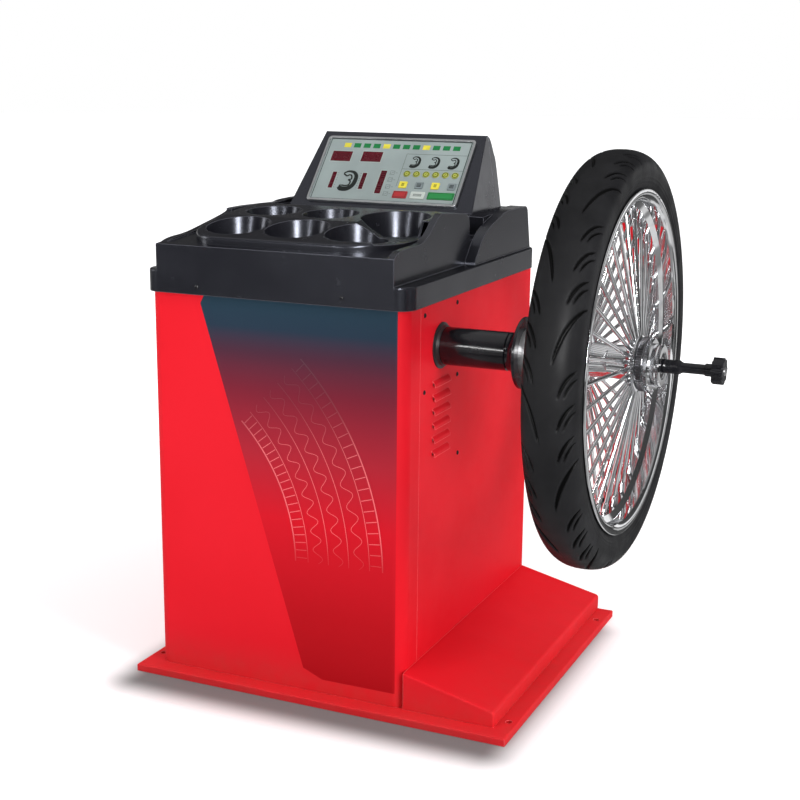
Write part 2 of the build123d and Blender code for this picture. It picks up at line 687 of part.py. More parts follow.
with BuildPart() as pedestal:
    box_between((186, 470), (SPIN_Y - PLATE_Y, SPIN_Y - PLATE_Y + PLATE_T), (BASE_T, BRIDGE_Z))
    box_between((186, 470), (SPIN_Y + PLATE_Y - PLATE_T, SPIN_Y + PLATE_Y), (BASE_T, BRIDGE_Z))
    box_between((262, 470), (SPIN_Y - PLATE_Y, SPIN_Y + PLATE_Y), (BRIDGE_Z, BRIDGE_Z + BRIDGE_T))
    box_between((262, 400), (SPIN_Y - PLATE_Y, SPIN_Y + PLATE_Y), (SHELF_Z, SHELF_Z + 8))
keep(pedestal, "pedestal")

CLAMP_X = (315.0, 435.0)

with BuildPart() as piezo_sensors:
    with BuildSketch(level(BRIDGE_Z + BRIDGE_T)):
        with Locations(*[(x, SPIN_Y) for x in CLAMP_X]):
            Circle(17)
    extrude(amount=SADDLE_Z - BRIDGE_Z - BRIDGE_T)
keep(piezo_sensors, "piezo_sensors")

with BuildPart() as spindle_saddle:
    box_between((290, 460), (SPIN_Y - 50, SPIN_Y + 50), (SADDLE_Z, SADDLE_Z + 10))
    for x in CLAMP_X:
        box_between((x - 15, x + 15), (SPIN_Y - 46, SPIN_Y + 46), (SADDLE_Z + 10, SPIN_Z + 50))
    fillet(spindle_saddle.edges().filter_by(Axis.X).group_by(Axis.Z)[-1], 14)
    with BuildSketch(across(280, SPIN_Z)):
        Circle(TUBE_R)
    extrude(amount=190, mode=Mode.SUBTRACT)
keep(spindle_saddle, "spindle_saddle")

with BuildPart() as spindle_housing:
    with BuildSketch(turned(SPIN_Z)):
        with BuildLine():
            Polyline((TUBE_X[0], BEARING_OR), (TUBE_X[0], TUBE_R), (TUBE_X[1] - 2, TUBE_R),
                     (TUBE_X[1], TUBE_R - 2), (TUBE_X[1], SHAFT_R + 3),
                     (BEARING_X[1] + BEARING_W / 2 + 1, SHAFT_R + 3),
                     (BEARING_X[1] + BEARING_W / 2 + 1, BEARING_OR), close=True)
        make_face()
    revolve(axis=SPINDLE)
keep(spindle_housing, "spindle_housing")

with BuildPart() as wall_collar:
    with BuildSketch(turned(SPIN_Z)):
        with BuildLine():
            Polyline((CAB_W, TUBE_R), (CAB_W, TUBE_R + 7.5), (CAB_W + 2, TUBE_R + 7.5),
                     (CAB_W + 4, TUBE_R + 3), (CAB_W + 9, TUBE_R + 2), (CAB_W + 9, TUBE_R),
                     close=True)
        make_face()
    revolve(axis=SPINDLE)
keep(wall_collar, "wall_collar")

RACE_R = 19.25          # pitch radius of the bearing balls
INNER_OR = 17.0
OUTER_IR = 21.5


def race_groove(x):
    """Cut the ball groove of a bearing centred at x."""
    with BuildSketch(turned(SPIN_Z)) as groove:
        with Locations((x, RACE_R)):
            Circle(BALL_R + RUN_GAP)
    revolve(groove.sketch, axis=SPINDLE, mode=Mode.SUBTRACT)


with BuildPart() as bearing_outer_rings:
    for x in BEARING_X:
        ring(x - BEARING_W / 2, x + BEARING_W / 2, OUTER_IR, BEARING_OR)
        race_groove(x)
keep(bearing_outer_rings, "bearing_outer_rings")

with BuildPart() as bearing_inner_rings:
    for x in BEARING_X:
        ring(x - BEARING_W / 2, x + BEARING_W / 2, SHAFT_R, INNER_OR)
        race_groove(x)
keep(bearing_inner_rings, "bearing_inner_rings")

with BuildPart() as bearing_cages:
    for x in BEARING_X:
        ring(x - 1.5, x + 1.5, RACE_R - 1, RACE_R + 1)
        with Locations(across(x, SPIN_Z)):
            with PolarLocations(RACE_R, BALL_COUNT):
                Sphere(BALL_R)
keep(bearing_cages, "bearing_cages")

# ---- drive --------------------------------------------------------------------------
PULLEY_X1 = PULLEY_X + PULLEY_W
PULLEY_LIP = 2.0


def pulley(radius, bore, z, axis):
    """Flat-belt pulley with a guide lip each side and a thin web."""
    with BuildSketch(turned(z)) as profile:
        with BuildLine() as edge:
            web = (PULLEY_W - 8) / 2
            rim = radius - 6
            Polyline((PULLEY_X, bore), (PULLEY_X, bore + 7), (PULLEY_X + web, bore + 7),
                     (PULLEY_X + web, rim), (PULLEY_X, rim), (PULLEY_X, radius + 2),
                     (PULLEY_X + PULLEY_LIP, radius + 2), (PULLEY_X + PULLEY_LIP, radius),
                     (PULLEY_X1 - PULLEY_LIP, radius), (PULLEY_X1 - PULLEY_LIP, radius + 2),
                     (PULLEY_X1, radius + 2), (PULLEY_X1, rim), (PULLEY_X1 - web, rim),
                     (PULLEY_X1 - web, bore + 7), (PULLEY_X1, bore + 7), (PULLEY_X1, bore),
                     close=True)
        make_face(edge.edges())
    revolve(profile.sketch, axis=axis)


with BuildPart() as driven_pulley:
    pulley(DRIVEN_R, SHAFT_R, SPIN_Z, SPINDLE)
    with BuildSketch(across(PULLEY_X, SPIN_Z)):
        with PolarLocations(37, 6):
            Circle(8)
    extrude(amount=PULLEY_W, mode=Mode.SUBTRACT)
keep(driven_pulley, "driven_pulley")

MOTOR_SHAFT_R = 6.0

with BuildPart() as motor_pulley:
    ring(PULLEY_X, PULLEY_X1, MOTOR_SHAFT_R, MOTOR_PULLEY_R, MOTOR_Z)
    ring(PULLEY_X, PULLEY_X + PULLEY_LIP, MOTOR_SHAFT_R, MOTOR_PULLEY_R + 2, MOTOR_Z)
    ring(PULLEY_X1 - PULLEY_LIP, PULLEY_X1, MOTOR_SHAFT_R, MOTOR_PULLEY_R + 2, MOTOR_Z)
keep(motor_pulley, "motor_pulley")

MOTOR_X = (262.0, 398.0)
MOTOR_R = 54.0
ROTOR_R = 33.0

with BuildPart() as motor_shaft:
    with BuildSketch(turned(MOTOR_Z)):
        with BuildLine():
            Polyline((PULLEY_X - 4, 0), (PULLEY_X - 4, MOTOR_SHAFT_R), (285, MOTOR_SHAFT_R),
                     (285, ROTOR_R), (375, ROTOR_R), (375, MOTOR_SHAFT_R),
                     (MOTOR_X[1] - 3, MOTOR_SHAFT_R), (MOTOR_X[1] - 3, 0), close=True)
        make_face()
    revolve(axis=MOTOR)
keep(motor_shaft, "motor_shaft")

with BuildPart() as motor_body:
    with BuildSketch(turned(MOTOR_Z)):
        with BuildLine():
            bore = MOTOR_SHAFT_R + RUN_GAP
            room = ROTOR_R + 0.6
            Polyline((MOTOR_X[0] - 6, bore), (MOTOR_X[0] - 6, 20), (MOTOR_X[0], 20),
                     (MOTOR_X[0], MOTOR_R), (MOTOR_X[1], MOTOR_R), (MOTOR_X[1], bore),
                     (MOTOR_X[1] - 14, bore), (MOTOR_X[1] - 14, room),
                     (MOTOR_X[0] + 14, room), (MOTOR_X[0] + 14, bore), close=True)
        make_face()
    revolve(axis=MOTOR)
    box_between((290, 370), (SPIN_Y - 48, SPIN_Y + 48), (SHELF_Z + 8, MOTOR_Z - 48))
keep(motor_body, "motor_body")

BELT_X = PULLEY_X + (PULLEY_W - BELT_W) / 2


def belt_face(gap):
    """Closed outline of two pulleys wrapped by a belt at the given gap."""
    with BuildSketch(across(BELT_X, SPIN_Z), mode=Mode.PRIVATE) as face:
        Circle(DRIVEN_R + gap)
        with Locations((0, MOTOR_Z - SPIN_Z)):
            Circle(MOTOR_PULLEY_R + gap)
        make_hull()
    return face.sketch


with BuildPart() as drive_belt:
    extrude(belt_face(RUN_GAP + BELT_T), amount=BELT_W)
    extrude(belt_face(RUN_GAP), amount=BELT_W, mode=Mode.SUBTRACT)
keep(drive_belt, "drive_belt")

ENCODER_X = 196.0
ENCODER_R = 45.0

with BuildPart() as encoder_disc:
    ring(ENCODER_X, ENCODER_X + 2, SHAFT_R, ENCODER_R)
    ring(ENCODER_X - 5, ENCODER_X + 2, SHAFT_R, SHAFT_R + 7)
    with BuildSketch(across(ENCODER_X, SPIN_Z)):
        with PolarLocations(ENCODER_R - 5, 36):
            Rectangle(5, 3)
    extrude(amount=2, mode=Mode.SUBTRACT)
keep(encoder_disc, "encoder_disc")

with BuildPart() as encoder_sensor:
    box_between((ENCODER_X - 6, ENCODER_X + 8), (SPIN_Y + 72, SPIN_Y + 80), (500, SPIN_Z + 8))
    box_between((ENCODER_X - 6, ENCODER_X + 8), (SPIN_Y + 36, SPIN_Y + 72),
                (SPIN_Z - 8, SPIN_Z + 8))
    box_between((ENCODER_X - 2, ENCODER_X + 4), (SPIN_Y + 36, SPIN_Y + 50),
                (SPIN_Z - 8, SPIN_Z + 8), Mode.SUBTRACT)
keep(encoder_sensor, "encoder_sensor")

with BuildPart() as power_supply:
    box_between((60, 200), (400, 560), (BASE_T, BASE_T + 4))
    box_between((70, 150), (420, 500), (BASE_T + 4, BASE_T + 74))
    box_between((76, 144), (408, 512), (BASE_T + 18, BASE_T + 60))
    box_between((160, 190), (410, 550), (BASE_T + 4, BASE_T + 34))
    fillet(power_supply.edges().filter_by(Axis.Z).group_by(Axis.Y)[0], 3)
keep(power_supply, "power_supply")

# ---- spindle ------------------------------------------------------------------------
SHOULDER_R = 15.0
DISC_T = 6.0

with BuildPart() as spindle_shaft:
    with BuildSketch(turned(SPIN_Z)):
        with BuildLine():
            seat0 = BEARING_X[0] + BEARING_W / 2
            seat1 = BEARING_X[1] - BEARING_W / 2
            Polyline((188, 0), (188, SHAFT_R), (seat0, SHAFT_R), (seat0, SHOULDER_R),
                     (seat1, SHOULDER_R), (seat1, SHAFT_R), (DISC_X - DISC_T, SHAFT_R),
                     (DISC_X - DISC_T, 0), close=True)
        make_face()
    revolve(axis=SPINDLE)
keep(spindle_shaft, "spindle_shaft")

with BuildPart() as flange_disc:
    with BuildSketch(turned(SPIN_Z)):
        with BuildLine():
            base = Line((TUBE_X[1] + 1, SHAFT_R), (TUBE_X[1] + 1, TUBE_R))
            dish = Spline(base @ 1, (TUBE_X[1] + 10, TUBE_R + 2.5),
                          (DISC_X - DISC_T, DISC_R - 1), tangents=((1, 0.05), (0.35, 1)))
            edge = RadiusArc(dish @ 1, (DISC_X - DISC_T + 1.5, DISC_R), 1.6)
            Polyline(edge @ 1, (DISC_X, DISC_R), (DISC_X, AXLE_R),
                     (DISC_X - DISC_T, AXLE_R), (DISC_X - DISC_T, SHAFT_R), base @ 0)
        make_face()
    revolve(axis=SPINDLE)
keep(flange_disc, "flange_disc")

with BuildPart() as inner_cone:
    with BuildSketch(turned(SPIN_Z)):
        with BuildLine():
            Polyline((DISC_X, AXLE_R), (DISC_X, 42), (DISC_X + 10, 42), (DISC_X + 22, 30),
                     (WHEEL_X - HUB_HALF + 1, 19), (WHEEL_X - HUB_HALF + 1, AXLE_R), close=True)
        make_face()
    revolve(axis=SPINDLE)
keep(inner_cone, "inner_cone")

MANDREL_STEP = WHEEL_X + HUB_HALF - 4

with BuildPart() as mandrel:
    with BuildSketch(turned(SPIN_Z)):
        with BuildLine():
            Polyline((DISC_X - DISC_T, 0), (DISC_X - DISC_T, AXLE_R), (MANDREL_STEP, AXLE_R),
                     (MANDREL_STEP, THREAD_R), (MANDREL_X1 - 1.5, THREAD_R),
                     (MANDREL_X1, THREAD_R - 1.5), (MANDREL_X1, 0), close=True)
        make_face()
    revolve(axis=SPINDLE)
keep(mandrel, "mandrel")

with BuildPart() as clamp_sleeve:
    with BuildSketch(turned(SPIN_Z)):
        with BuildLine():
            Polyline((SLEEVE_X[0] - 2, THREAD_R), (SLEEVE_X[0] - 2, 11.5),
                     (SLEEVE_X[1] - 1.5, 11.5), (SLEEVE_X[1], 10), (SLEEVE_X[1] + 3, 8.5),
                     (SLEEVE_X[2], 8.5), (SLEEVE_X[2], THREAD_R), close=True)
        make_face()
    revolve(axis=SPINDLE)
keep(clamp_sleeve, "clamp_sleeve")

THREAD_FIT = 0.06       # running clearance of the nut on the thread

with BuildPart() as clamp_collar:
    ring(SLEEVE_X[2] + RUN_GAP, COLLAR_X1, THREAD_R + THREAD_FIT, 10.5)
    fillet(clamp_collar.edges().filter_by(GeomType.CIRCLE).sort_by(SortBy.RADIUS)[-2:], 1.2)
keep(clamp_collar, "clamp_collar")

with BuildPart() as hand_knob:
    with BuildSketch(across(COLLAR_X1 + RUN_GAP, SPIN_Z)):
        Circle(22)
        with PolarLocations(25.5, 8, start_angle=22.5):
            Circle(6.5, mode=Mode.SUBTRACT)
        Circle(THREAD_R + THREAD_FIT, mode=Mode.SUBTRACT)
    extrude(amount=KNOB_X1 - COLLAR_X1 - RUN_GAP)
    fillet(hand_knob.faces().sort_by(Axis.X)[-1].outer_wire().edges(), 2)
keep(hand_knob, "hand_knob")

# ---- wheel --------------------------------------------------------------------------
HUB_X = (WHEEL_X - HUB_HALF, WHEEL_X + HUB_HALF)


def wheel_plane():
    """Sketch plane through the spindle axis; local axes are x from mid plane and radius."""
    return Plane(origin=(X0 + WHEEL_X, Y0 + SPIN_Y, SPIN_Z), x_dir=(1, 0, 0), z_dir=(0, -1, 0))


def spoke_plane(angle, hand, radius):
    """Plane on a spoke axis: normal runs from hub to rim. hand is +1 right, -1 left."""
    run = SPOKE_RIM_R - SPOKE_HUB_R
    rise = hand * (SPOKE_RIM_X - SPOKE_HUB_X)
    out = (0, -sin(radians(angle)), cos(radians(angle)))
    t = (radius - SPOKE_HUB_R) / run
    x = hand * SPOKE_HUB_X + rise * t
    return Plane(
        origin=(X0 + WHEEL_X + x, Y0 + SPIN_Y + out[1] * radius, SPIN_Z + out[2] * radius),
        x_dir=(0, cos(radians(angle)), sin(radians(angle))),
        z_dir=(rise / run, out[1], out[2]),
    )


SPOKE_PITCH = 360 / SPOKES_PER_SIDE
SPOKE_START = {1: -SPOKE_PITCH / 2, -1: -SPOKE_PITCH / 4}
SPOKE_ANGLES = [(SPOKE_START[hand] + SPOKE_PITCH * i, hand)
                for hand in (1, -1) for i in range(SPOKES_PER_SIDE)]
SPOKE_SLANT = ((SPOKE_RIM_X - SPOKE_HUB_X) ** 2 + (SPOKE_RIM_R - SPOKE_HUB_R) ** 2) ** 0.5
NIPPLE_LEN = 20.0

with BuildPart() as hub:
    with BuildSketch(wheel_plane()):
        with BuildLine():
            # right half from the barrel outwards, then the bearing seat
            Polyline((0, 28), (30, 30), (36, 47), (50, 47), (53, 42), (63, 42), (64.5, 44),
                     (71, 44), (73, 42), (73, 36), (82, 36), (84, 35), (HUB_HALF - 2, 35),
                     (HUB_HALF, 33), (HUB_HALF, 23.5), (HUB_HALF - 14, 23.5),
                     (HUB_HALF - 14, 12), (0, 12))
            mirror(about=Plane.YZ)
        make_face()
    revolve(axis=SPINDLE)
keep(hub, "hub")

with BuildPart() as hub_bearings:
    ring(HUB_X[0] + 2, HUB_X[0] + 14, AXLE_R, 23.5)
    ring(HUB_X[1] - 14, HUB_X[1] - 2, AXLE_R, 23.5)
keep(hub_bearings, "hub_bearings")

with BuildPart() as spokes:
    for angle, hand in SPOKE_ANGLES:
        with BuildSketch(spoke_plane(angle, hand, SPOKE_HUB_R - 2)):
            Circle(SPOKE_D / 2)
        extrude(amount=SPOKE_SLANT - 6)
keep(spokes, "spokes")

with BuildPart() as spoke_nipples:
    for angle, hand in SPOKE_ANGLES:
        with BuildSketch(spoke_plane(angle, hand, WELL_R - 1 - NIPPLE_LEN)):
            Circle(SPOKE_D / 2 + 1.7)
        extrude(amount=NIPPLE_LEN)
keep(spoke_nipples, "spoke_nipples")

with BuildPart() as rim:
    with BuildSketch(wheel_plane()):
        with BuildLine():
            # tyre side from the well to the lip, then back along the inner face
            well = Polyline((0, WELL_R), (13, WELL_R), (20, SEAT_R), (38, SEAT_R), (38.6, 280))
            lip = ThreePointArc(well @ 1, (40.4, 285.6), (RIM_LIP_X, RIM_LIP_R))
            edge = RadiusArc(lip @ 1, (RIM_LIP_X + 1.4, RIM_LIP_R - 2.4), 2.0)
            face = ThreePointArc(edge @ 1, (42.9, 275.2), (37, SEAT_R - RIM_T))
            Polyline(face @ 1, (21.2, SEAT_R - RIM_T), (14.4, WELL_R - RIM_T),
                     (0, WELL_R - RIM_T))
            mirror(about=Plane.YZ)
        make_face()
    revolve(axis=SPINDLE)
    with BuildSketch(level(SPIN_Z - 280)):
        with Locations((WHEEL_X, SPIN_Y)):
            Circle(4.2)
    extrude(amount=30, mode=Mode.SUBTRACT)
keep(rim, "rim")

with BuildPart() as tyre:
    with BuildSketch(wheel_plane()):
        with BuildLine():
            crown = Spline((0, TYRE_R), (22, TYRE_R - 2.4), (37.5, TYRE_R - 13),
                           (TYRE_HALF, TYRE_R - 35), tangents=((1, 0), (0, -1)))
            wall = Spline(crown @ 1, (43.2, 299), (39.6, 289.5), tangents=((0, -1), (-0.6, -1)))
            bead = Polyline(wall @ 1, (38.2, 284), (37.8, SEAT_R), (30, SEAT_R), (31, 286))
            inner = Spline(bead @ 1, (36.5, 312), (31, 329), (0, TYRE_R - 8),
                           tangents=((0.3, 1), (-1, 0)))
            mirror(about=Plane.YZ)
        make_face()
    revolve(axis=SPINDLE)
keep(tyre, "tyre")

TUBE_MID_R = 307.0

with BuildPart() as inner_tube:
    with BuildSketch(wheel_plane()):
        with Locations((0, TUBE_MID_R)):
            Circle(29)
            Circle(27, mode=Mode.SUBTRACT)
    revolve(axis=SPINDLE)
    with BuildSketch(level(SPIN_Z - TUBE_MID_R + 28)):
        with Locations((WHEEL_X, SPIN_Y)):
            Circle(4)
    extrude(amount=40)
keep(inner_tube, "inner_tube")
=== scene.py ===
import json
import math

import bmesh
import bpy
import numpy as np
from mathutils import Matrix, Quaternion, Vector


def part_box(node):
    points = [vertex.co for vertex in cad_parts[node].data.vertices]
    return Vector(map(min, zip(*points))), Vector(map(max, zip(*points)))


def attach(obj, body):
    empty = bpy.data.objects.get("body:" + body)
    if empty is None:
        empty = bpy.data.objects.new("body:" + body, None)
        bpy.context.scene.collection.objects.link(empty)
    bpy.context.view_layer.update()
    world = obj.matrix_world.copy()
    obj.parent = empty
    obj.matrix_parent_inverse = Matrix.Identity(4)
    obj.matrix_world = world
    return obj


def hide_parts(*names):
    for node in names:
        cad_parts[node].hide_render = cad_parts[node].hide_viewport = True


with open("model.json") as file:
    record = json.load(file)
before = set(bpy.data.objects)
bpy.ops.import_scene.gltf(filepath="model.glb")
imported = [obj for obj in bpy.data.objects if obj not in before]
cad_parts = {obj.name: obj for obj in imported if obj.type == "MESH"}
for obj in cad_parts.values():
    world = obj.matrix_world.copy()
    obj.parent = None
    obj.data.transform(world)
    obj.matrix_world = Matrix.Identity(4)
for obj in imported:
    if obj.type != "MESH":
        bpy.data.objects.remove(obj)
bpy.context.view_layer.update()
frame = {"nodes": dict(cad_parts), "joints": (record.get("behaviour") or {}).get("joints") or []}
NODES = frame["nodes"]
SCENE = bpy.context.scene

# ---- where things are, all read from the frame --------------------------------------

MACHINE, SPINDLE = "machine", "spindle"
FRONT_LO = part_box("front_panel")[0]
TYRE_LO, TYRE_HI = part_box("tyre")
AXLE = next(Vector(j["pos_m"]) for j in frame["joints"] if j["name"] == "spindle_spin")
WHEEL_MID = (TYRE_LO.x + TYRE_HI.x) / 2
MM = 0.001

# ---- camera, light and floor --------------------------------------------------------


CAMERA_LENS = 64.83            # mm, on a 36 mm wide sensor
SENSOR_WIDTH = 36.0
CAMERA_AT = (1.1098, -2.4323, 1.1162)
CAMERA_TURN = (-24.07, -13.12, 0.55)  # yaw, pitch and roll in degrees
FLOOR_RADIUS = 30.0
FLOOR_SIDES = 96
FLOOR_DROP = 0.0004            # keeps the floor clear of the base's underside


def add_camera():
    """The photograph's angle."""
    data = bpy.data.cameras.new("camera")
    data.lens = CAMERA_LENS
    data.sensor_width = SENSOR_WIDTH
    data.clip_end = 100
    cam = bpy.data.objects.new("camera", data)
    SCENE.collection.objects.link(cam)
    yaw, pitch, roll = (math.radians(a) for a in CAMERA_TURN)
    forward = Vector((math.sin(yaw) * math.cos(pitch), math.cos(yaw) * math.cos(pitch),
                      math.sin(pitch)))
    right = Vector((math.cos(yaw), -math.sin(yaw), 0))
    up = right.cross(forward)
    right, up = (right * math.cos(roll) + up * math.sin(roll),
                 up * math.cos(roll) - right * math.sin(roll))
    turn = Matrix((right, up, -forward)).transposed()
    cam.matrix_world = Matrix.Translation(CAMERA_AT) @ turn.to_4x4()
    SCENE.camera = cam


def add_area(name, where, target, size, power, glossy=True, diffuse=True, roll=0):
    """A softbox at a point, facing another and rolled by some degrees.

    Some only light the surfaces and some only show as a gloss.
    """
    data = bpy.data.lights.new(name, "AREA")
    data.shape = "RECTANGLE"
    data.size, data.size_y = size
    data.energy = power
    lamp = bpy.data.objects.new(name, data)
    SCENE.collection.objects.link(lamp)
    lamp.location = where
    facing = (Vector(target) - Vector(where)).to_track_quat("-Z", "Y")
    lamp.rotation_euler = (facing @ Quaternion((0, 0, 1), math.radians(roll))).to_euler()
    lamp.visible_glossy = glossy
    lamp.visible_diffuse = diffuse


def add_world():
    """A white backdrop; polished metal shows dark surroundings with pale patches instead."""
    world = bpy.data.worlds.new("studio")
    SCENE.world = world
    world.use_nodes = True
    tree = world.node_tree
    tree.nodes.clear()

    def node(kind, **inputs):
        made = tree.nodes.new("ShaderNode" + kind)
        for key, value in inputs.items():
            key = key.replace("_", " ")
            if isinstance(value, bpy.types.NodeSocket):
                tree.links.new(value, made.inputs[key])
            else:
                made.inputs[key].default_value = value
        return made

    def ramp(value, stops):
        made = node("ValToRGB", Fac=value)
        made.color_ramp.interpolation = "EASE"
        while len(made.color_ramp.elements) < len(stops):
            made.color_ramp.elements.new(0.5)
        for element, (at, level) in zip(made.color_ramp.elements, stops):
            element.position = at
            element.color = (level, level, level, 1)
        return made.outputs[0]

    way = node("TexCoord").outputs["Generated"]
    height = node("MapRange", Value=node("SeparateXYZ", Vector=way).outputs["Z"],
                  From_Min=-1.0).outputs[0]
    level = ramp(height, ((0.0, 0.22), (0.20, 0.30), (0.33, 0.08), (0.42, 0.04), (0.55, 0.08),
                          (0.72, 0.05), (0.84, 0.30), (0.94, 0.65)))
    noise = node("TexNoise", Vector=way, Scale=3.2, Detail=1.0).outputs["Fac"]
    below = ramp(height, ((0.42, 1.0), (0.47, 0.0)))
    patches = node("MixRGB", Fac=below, Color1=(0, 0, 0, 1),
                   Color2=ramp(noise, ((0.51, 0.0), (0.56, 1.0))))
    horizon = ramp(height, ((0.470, 0.0), (0.478, 1.0), (0.528, 1.0), (0.550, 0.0)))
    total = node("MixRGB", Fac=0.5, Color1=level, Color2=patches.outputs[0])
    total.blend_type = "ADD"
    white = node("MixRGB", Fac=horizon, Color1=total.outputs[0], Color2=(1, 1, 1, 1))
    seen = node("LightPath").outputs["Is Camera Ray"]
    backdrop = node("MixRGB", Fac=seen, Color1=white.outputs[0], Color2=(1, 1, 1, 1))
    sky = node("Background", Color=backdrop.outputs[0])
    tree.links.new(sky.outputs[0], node("OutputWorld").inputs["Surface"])


def add_overhead():
    """One broad even light from above."""
    data = bpy.data.lights.new("overhead", "SUN")
    data.energy = 1.1
    data.angle = 1.3
    lamp = bpy.data.objects.new("overhead", data)
    SCENE.collection.objects.link(lamp)
    lamp.rotation_euler = (0.12, -0.10, 0)
    lamp.visible_glossy = False


def add_floor():
    """A wide flat pale floor."""
    mesh = bpy.data.meshes.new("floor")
    turns = [i * math.tau / FLOOR_SIDES for i in range(FLOOR_SIDES)]
    ring = [(FLOOR_RADIUS * math.cos(t), FLOOR_RADIUS * math.sin(t), 0) for t in turns]
    mesh.from_pydata(ring, [], [tuple(range(FLOOR_SIDES))])
    floor = bpy.data.objects.new("floor", mesh)
    floor.location.z = -FLOOR_DROP
    SCENE.collection.objects.link(floor)
    floor.visible_glossy = False
    return floor


add_camera()
add_world()
FLOOR = add_floor()
CABINET = (0, 0, 0.5)
SIDE_AT, SIDE_SIZE, SIDE_FACES = (3.3, -1.2, 1.7), (1.2, 2.2), (0.3, 0, 0.5)
add_area("key", (-1.5, -3.0, 1.9), CABINET, (1.3, 1.9), 31, glossy=False)
add_area("side", SIDE_AT, SIDE_FACES, SIDE_SIZE, 104, glossy=False)
add_area("back", (-0.8, 3.2, 2.4), CABINET, (2.4, 1.4), 24, glossy=False)
add_area("side_sheen", SIDE_AT, SIDE_FACES, SIDE_SIZE, 38, diffuse=False)
add_area("window", (1.25, -2.75, 1.62), (-0.1, 0, 0.80), (0.66, 1.1), 104, diffuse=False)
# the narrow line of light along the spindle housing
add_area("tube_line", (-0.675, -2.2, 1.355), (0.19, -0.14, 0.638), (0.10, 1.0), 9, diffuse=False,
         roll=40)
add_area("left_strip", (-2.5, -0.85, 1.55), (-0.1, 0, 0.78), (0.45, 1.7), 14, diffuse=False)
add_overhead()
SCENE.view_settings.view_transform = "Standard"
SCENE.view_settings.look = "None"

# ---- material tools -----------------------------------------------------------------


class Shader:
    """A Principled material built node by node."""

    def __init__(self, name, **sockets):
        self.material = bpy.data.materials.new(name)
        self.material.use_nodes = True
        self.tree = self.material.node_tree
        self.main = self.tree.nodes["Principled BSDF"]
        for socket, value in sockets.items():
            self.set(socket, value)
        self._place = None

    def set(self, socket, value):
        key = socket.replace("_", " ")
        if isinstance(value, tuple) and len(value) == 3:
            value = (*value, 1)
        self.main.inputs[key].default_value = value

    def link(self, out, socket):
        self.tree.links.new(out, self.main.inputs[socket.replace("_", " ")])

    def node(self, kind, inputs=(), **settings):
        made = self.tree.nodes.new("ShaderNode" + kind)
        for key, value in settings.items():
            setattr(made, key, value)
        for key, value in dict(inputs).items():
            if isinstance(value, bpy.types.NodeSocket):
                self.tree.links.new(value, made.inputs[key])
            else:
                made.inputs[key].default_value = value
        return made

    @property
    def place(self):
        """Position in the object's own metres."""
        if self._place is None:
            self._place = self.node("TexCoord").outputs["Object"]
        return self._place

    def noise(self, scale, detail=2.0, rough=0.5, vector=None, stretch=None):
        vector = vector or self.place
        if stretch:
            vector = self.node("Mapping", {"Vector": vector, "Scale": stretch}).outputs[0]
        return self.node("TexNoise", {"Vector": vector, "Scale": scale, "Detail": detail,
                                      "Roughness": rough}).outputs["Fac"]

    def math(self, how, a, b=0.0, c=0.0):
        return self.node("Math", {0: a, 1: b, 2: c}, operation=how).outputs[0]

    def multiply(self, a, b):
        return self.math("MULTIPLY", a, b)

    def hypot(self, a, b):
        """The length of the vector (a, b)."""
        return self.math("SQRT", self.math("ADD", self.multiply(a, a), self.multiply(b, b)))

    def step(self, value, low, high, out_low=0.0, out_high=1.0):
        """Smooth ramp from out_low at low to out_high at high."""
        made = self.node("MapRange", {"Value": value, "From Min": low, "From Max": high,
                                      "To Min": out_low, "To Max": out_high},
                         interpolation_type="SMOOTHSTEP")
        return made.outputs[0]

    def mix(self, factor, a, b):
        def paint(x):
            return (*x, 1) if isinstance(x, tuple) and len(x) == 3 else x
        made = self.node("Mix", data_type="RGBA")
        for index, value in ((0, factor), (6, paint(a)), (7, paint(b))):
            if isinstance(value, bpy.types.NodeSocket):
                self.tree.links.new(value, made.inputs[index])
            else:
                made.inputs[index].default_value = value
        return made.outputs[2]

    def ramp(self, value, stops):
        made = self.node("ValToRGB", {0: value})
        bar = made.color_ramp
        while len(bar.elements) < len(stops):
            bar.elements.new(0.5)
        for element, (at, colour) in zip(bar.elements, stops):
            element.position = at
            element.color = (*colour, 1)
        return made.outputs[0]

    def bump(self, height, distance, strength=1.0):
        before = self.main.inputs["Normal"]
        made = self.node("Bump", {"Height": height, "Distance": distance, "Strength": strength})
        if before.is_linked:
            self.tree.links.new(before.links[0].from_socket, made.inputs["Normal"])
        self.tree.links.new(made.outputs[0], before)


def xyz(shader):
    parts = shader.node("SeparateXYZ", {0: shader.place}).outputs
    return parts["X"], parts["Y"], parts["Z"]


def srgb(r, g, b):
    """0-255 display colour to linear."""
    return tuple(((c / 255 + 0.055) / 1.055) ** 2.4 if c > 10 else c / 255 / 12.92
                 for c in (r, g, b))


def paint_all(material, *names):
    for name in names:
        mesh = NODES[name].data
        mesh.materials.clear()
        mesh.materials.append(material)


# ---- materials ----------------------------------------------------------------------

RED, RED_DEEP = srgb(224, 28, 42), srgb(217, 21, 34)
# pale pink for the painted highlight along the red enamel's edges
RED_EDGE_HIGHLIGHT = srgb(255, 140, 142)
FLOOR_DUST = (0.34, 0.10, 0.08)
DUST_TOP = 0.10                # how far up the floor's dust reaches
ENAMEL_EDGE, SHELL_EDGE = 0.0022, 0.0024  # rounding of edges in the shading
FIELD_TOP = 0.72               # height where the printed field ends
FIELD_LEAN = -0.3078           # slant of the field's left edge, across per metre up
FIELD_LEFT, FIELD_RIGHT = 0.3210, 0.484  # from the panel's left side
FIELD_LOW = 0.040
CORNER_SLOPE, CORNER_POINT = 1.9, (0.114, 0.724)
FOOT_SLOPE, FOOT_POINT = -0.42, (0.304, 0.056)
FRONT_DEPTH = 0.012            # the print ends where the panel turns the corner
PRINT_SOFT = 0.0004
SEAL_INNER, SEAL_OUTER = (0.0138, 0.0141), (0.0208, 0.0205)
LATHE_RINGS = 900.0            # turning marks per metre, times the noise scale


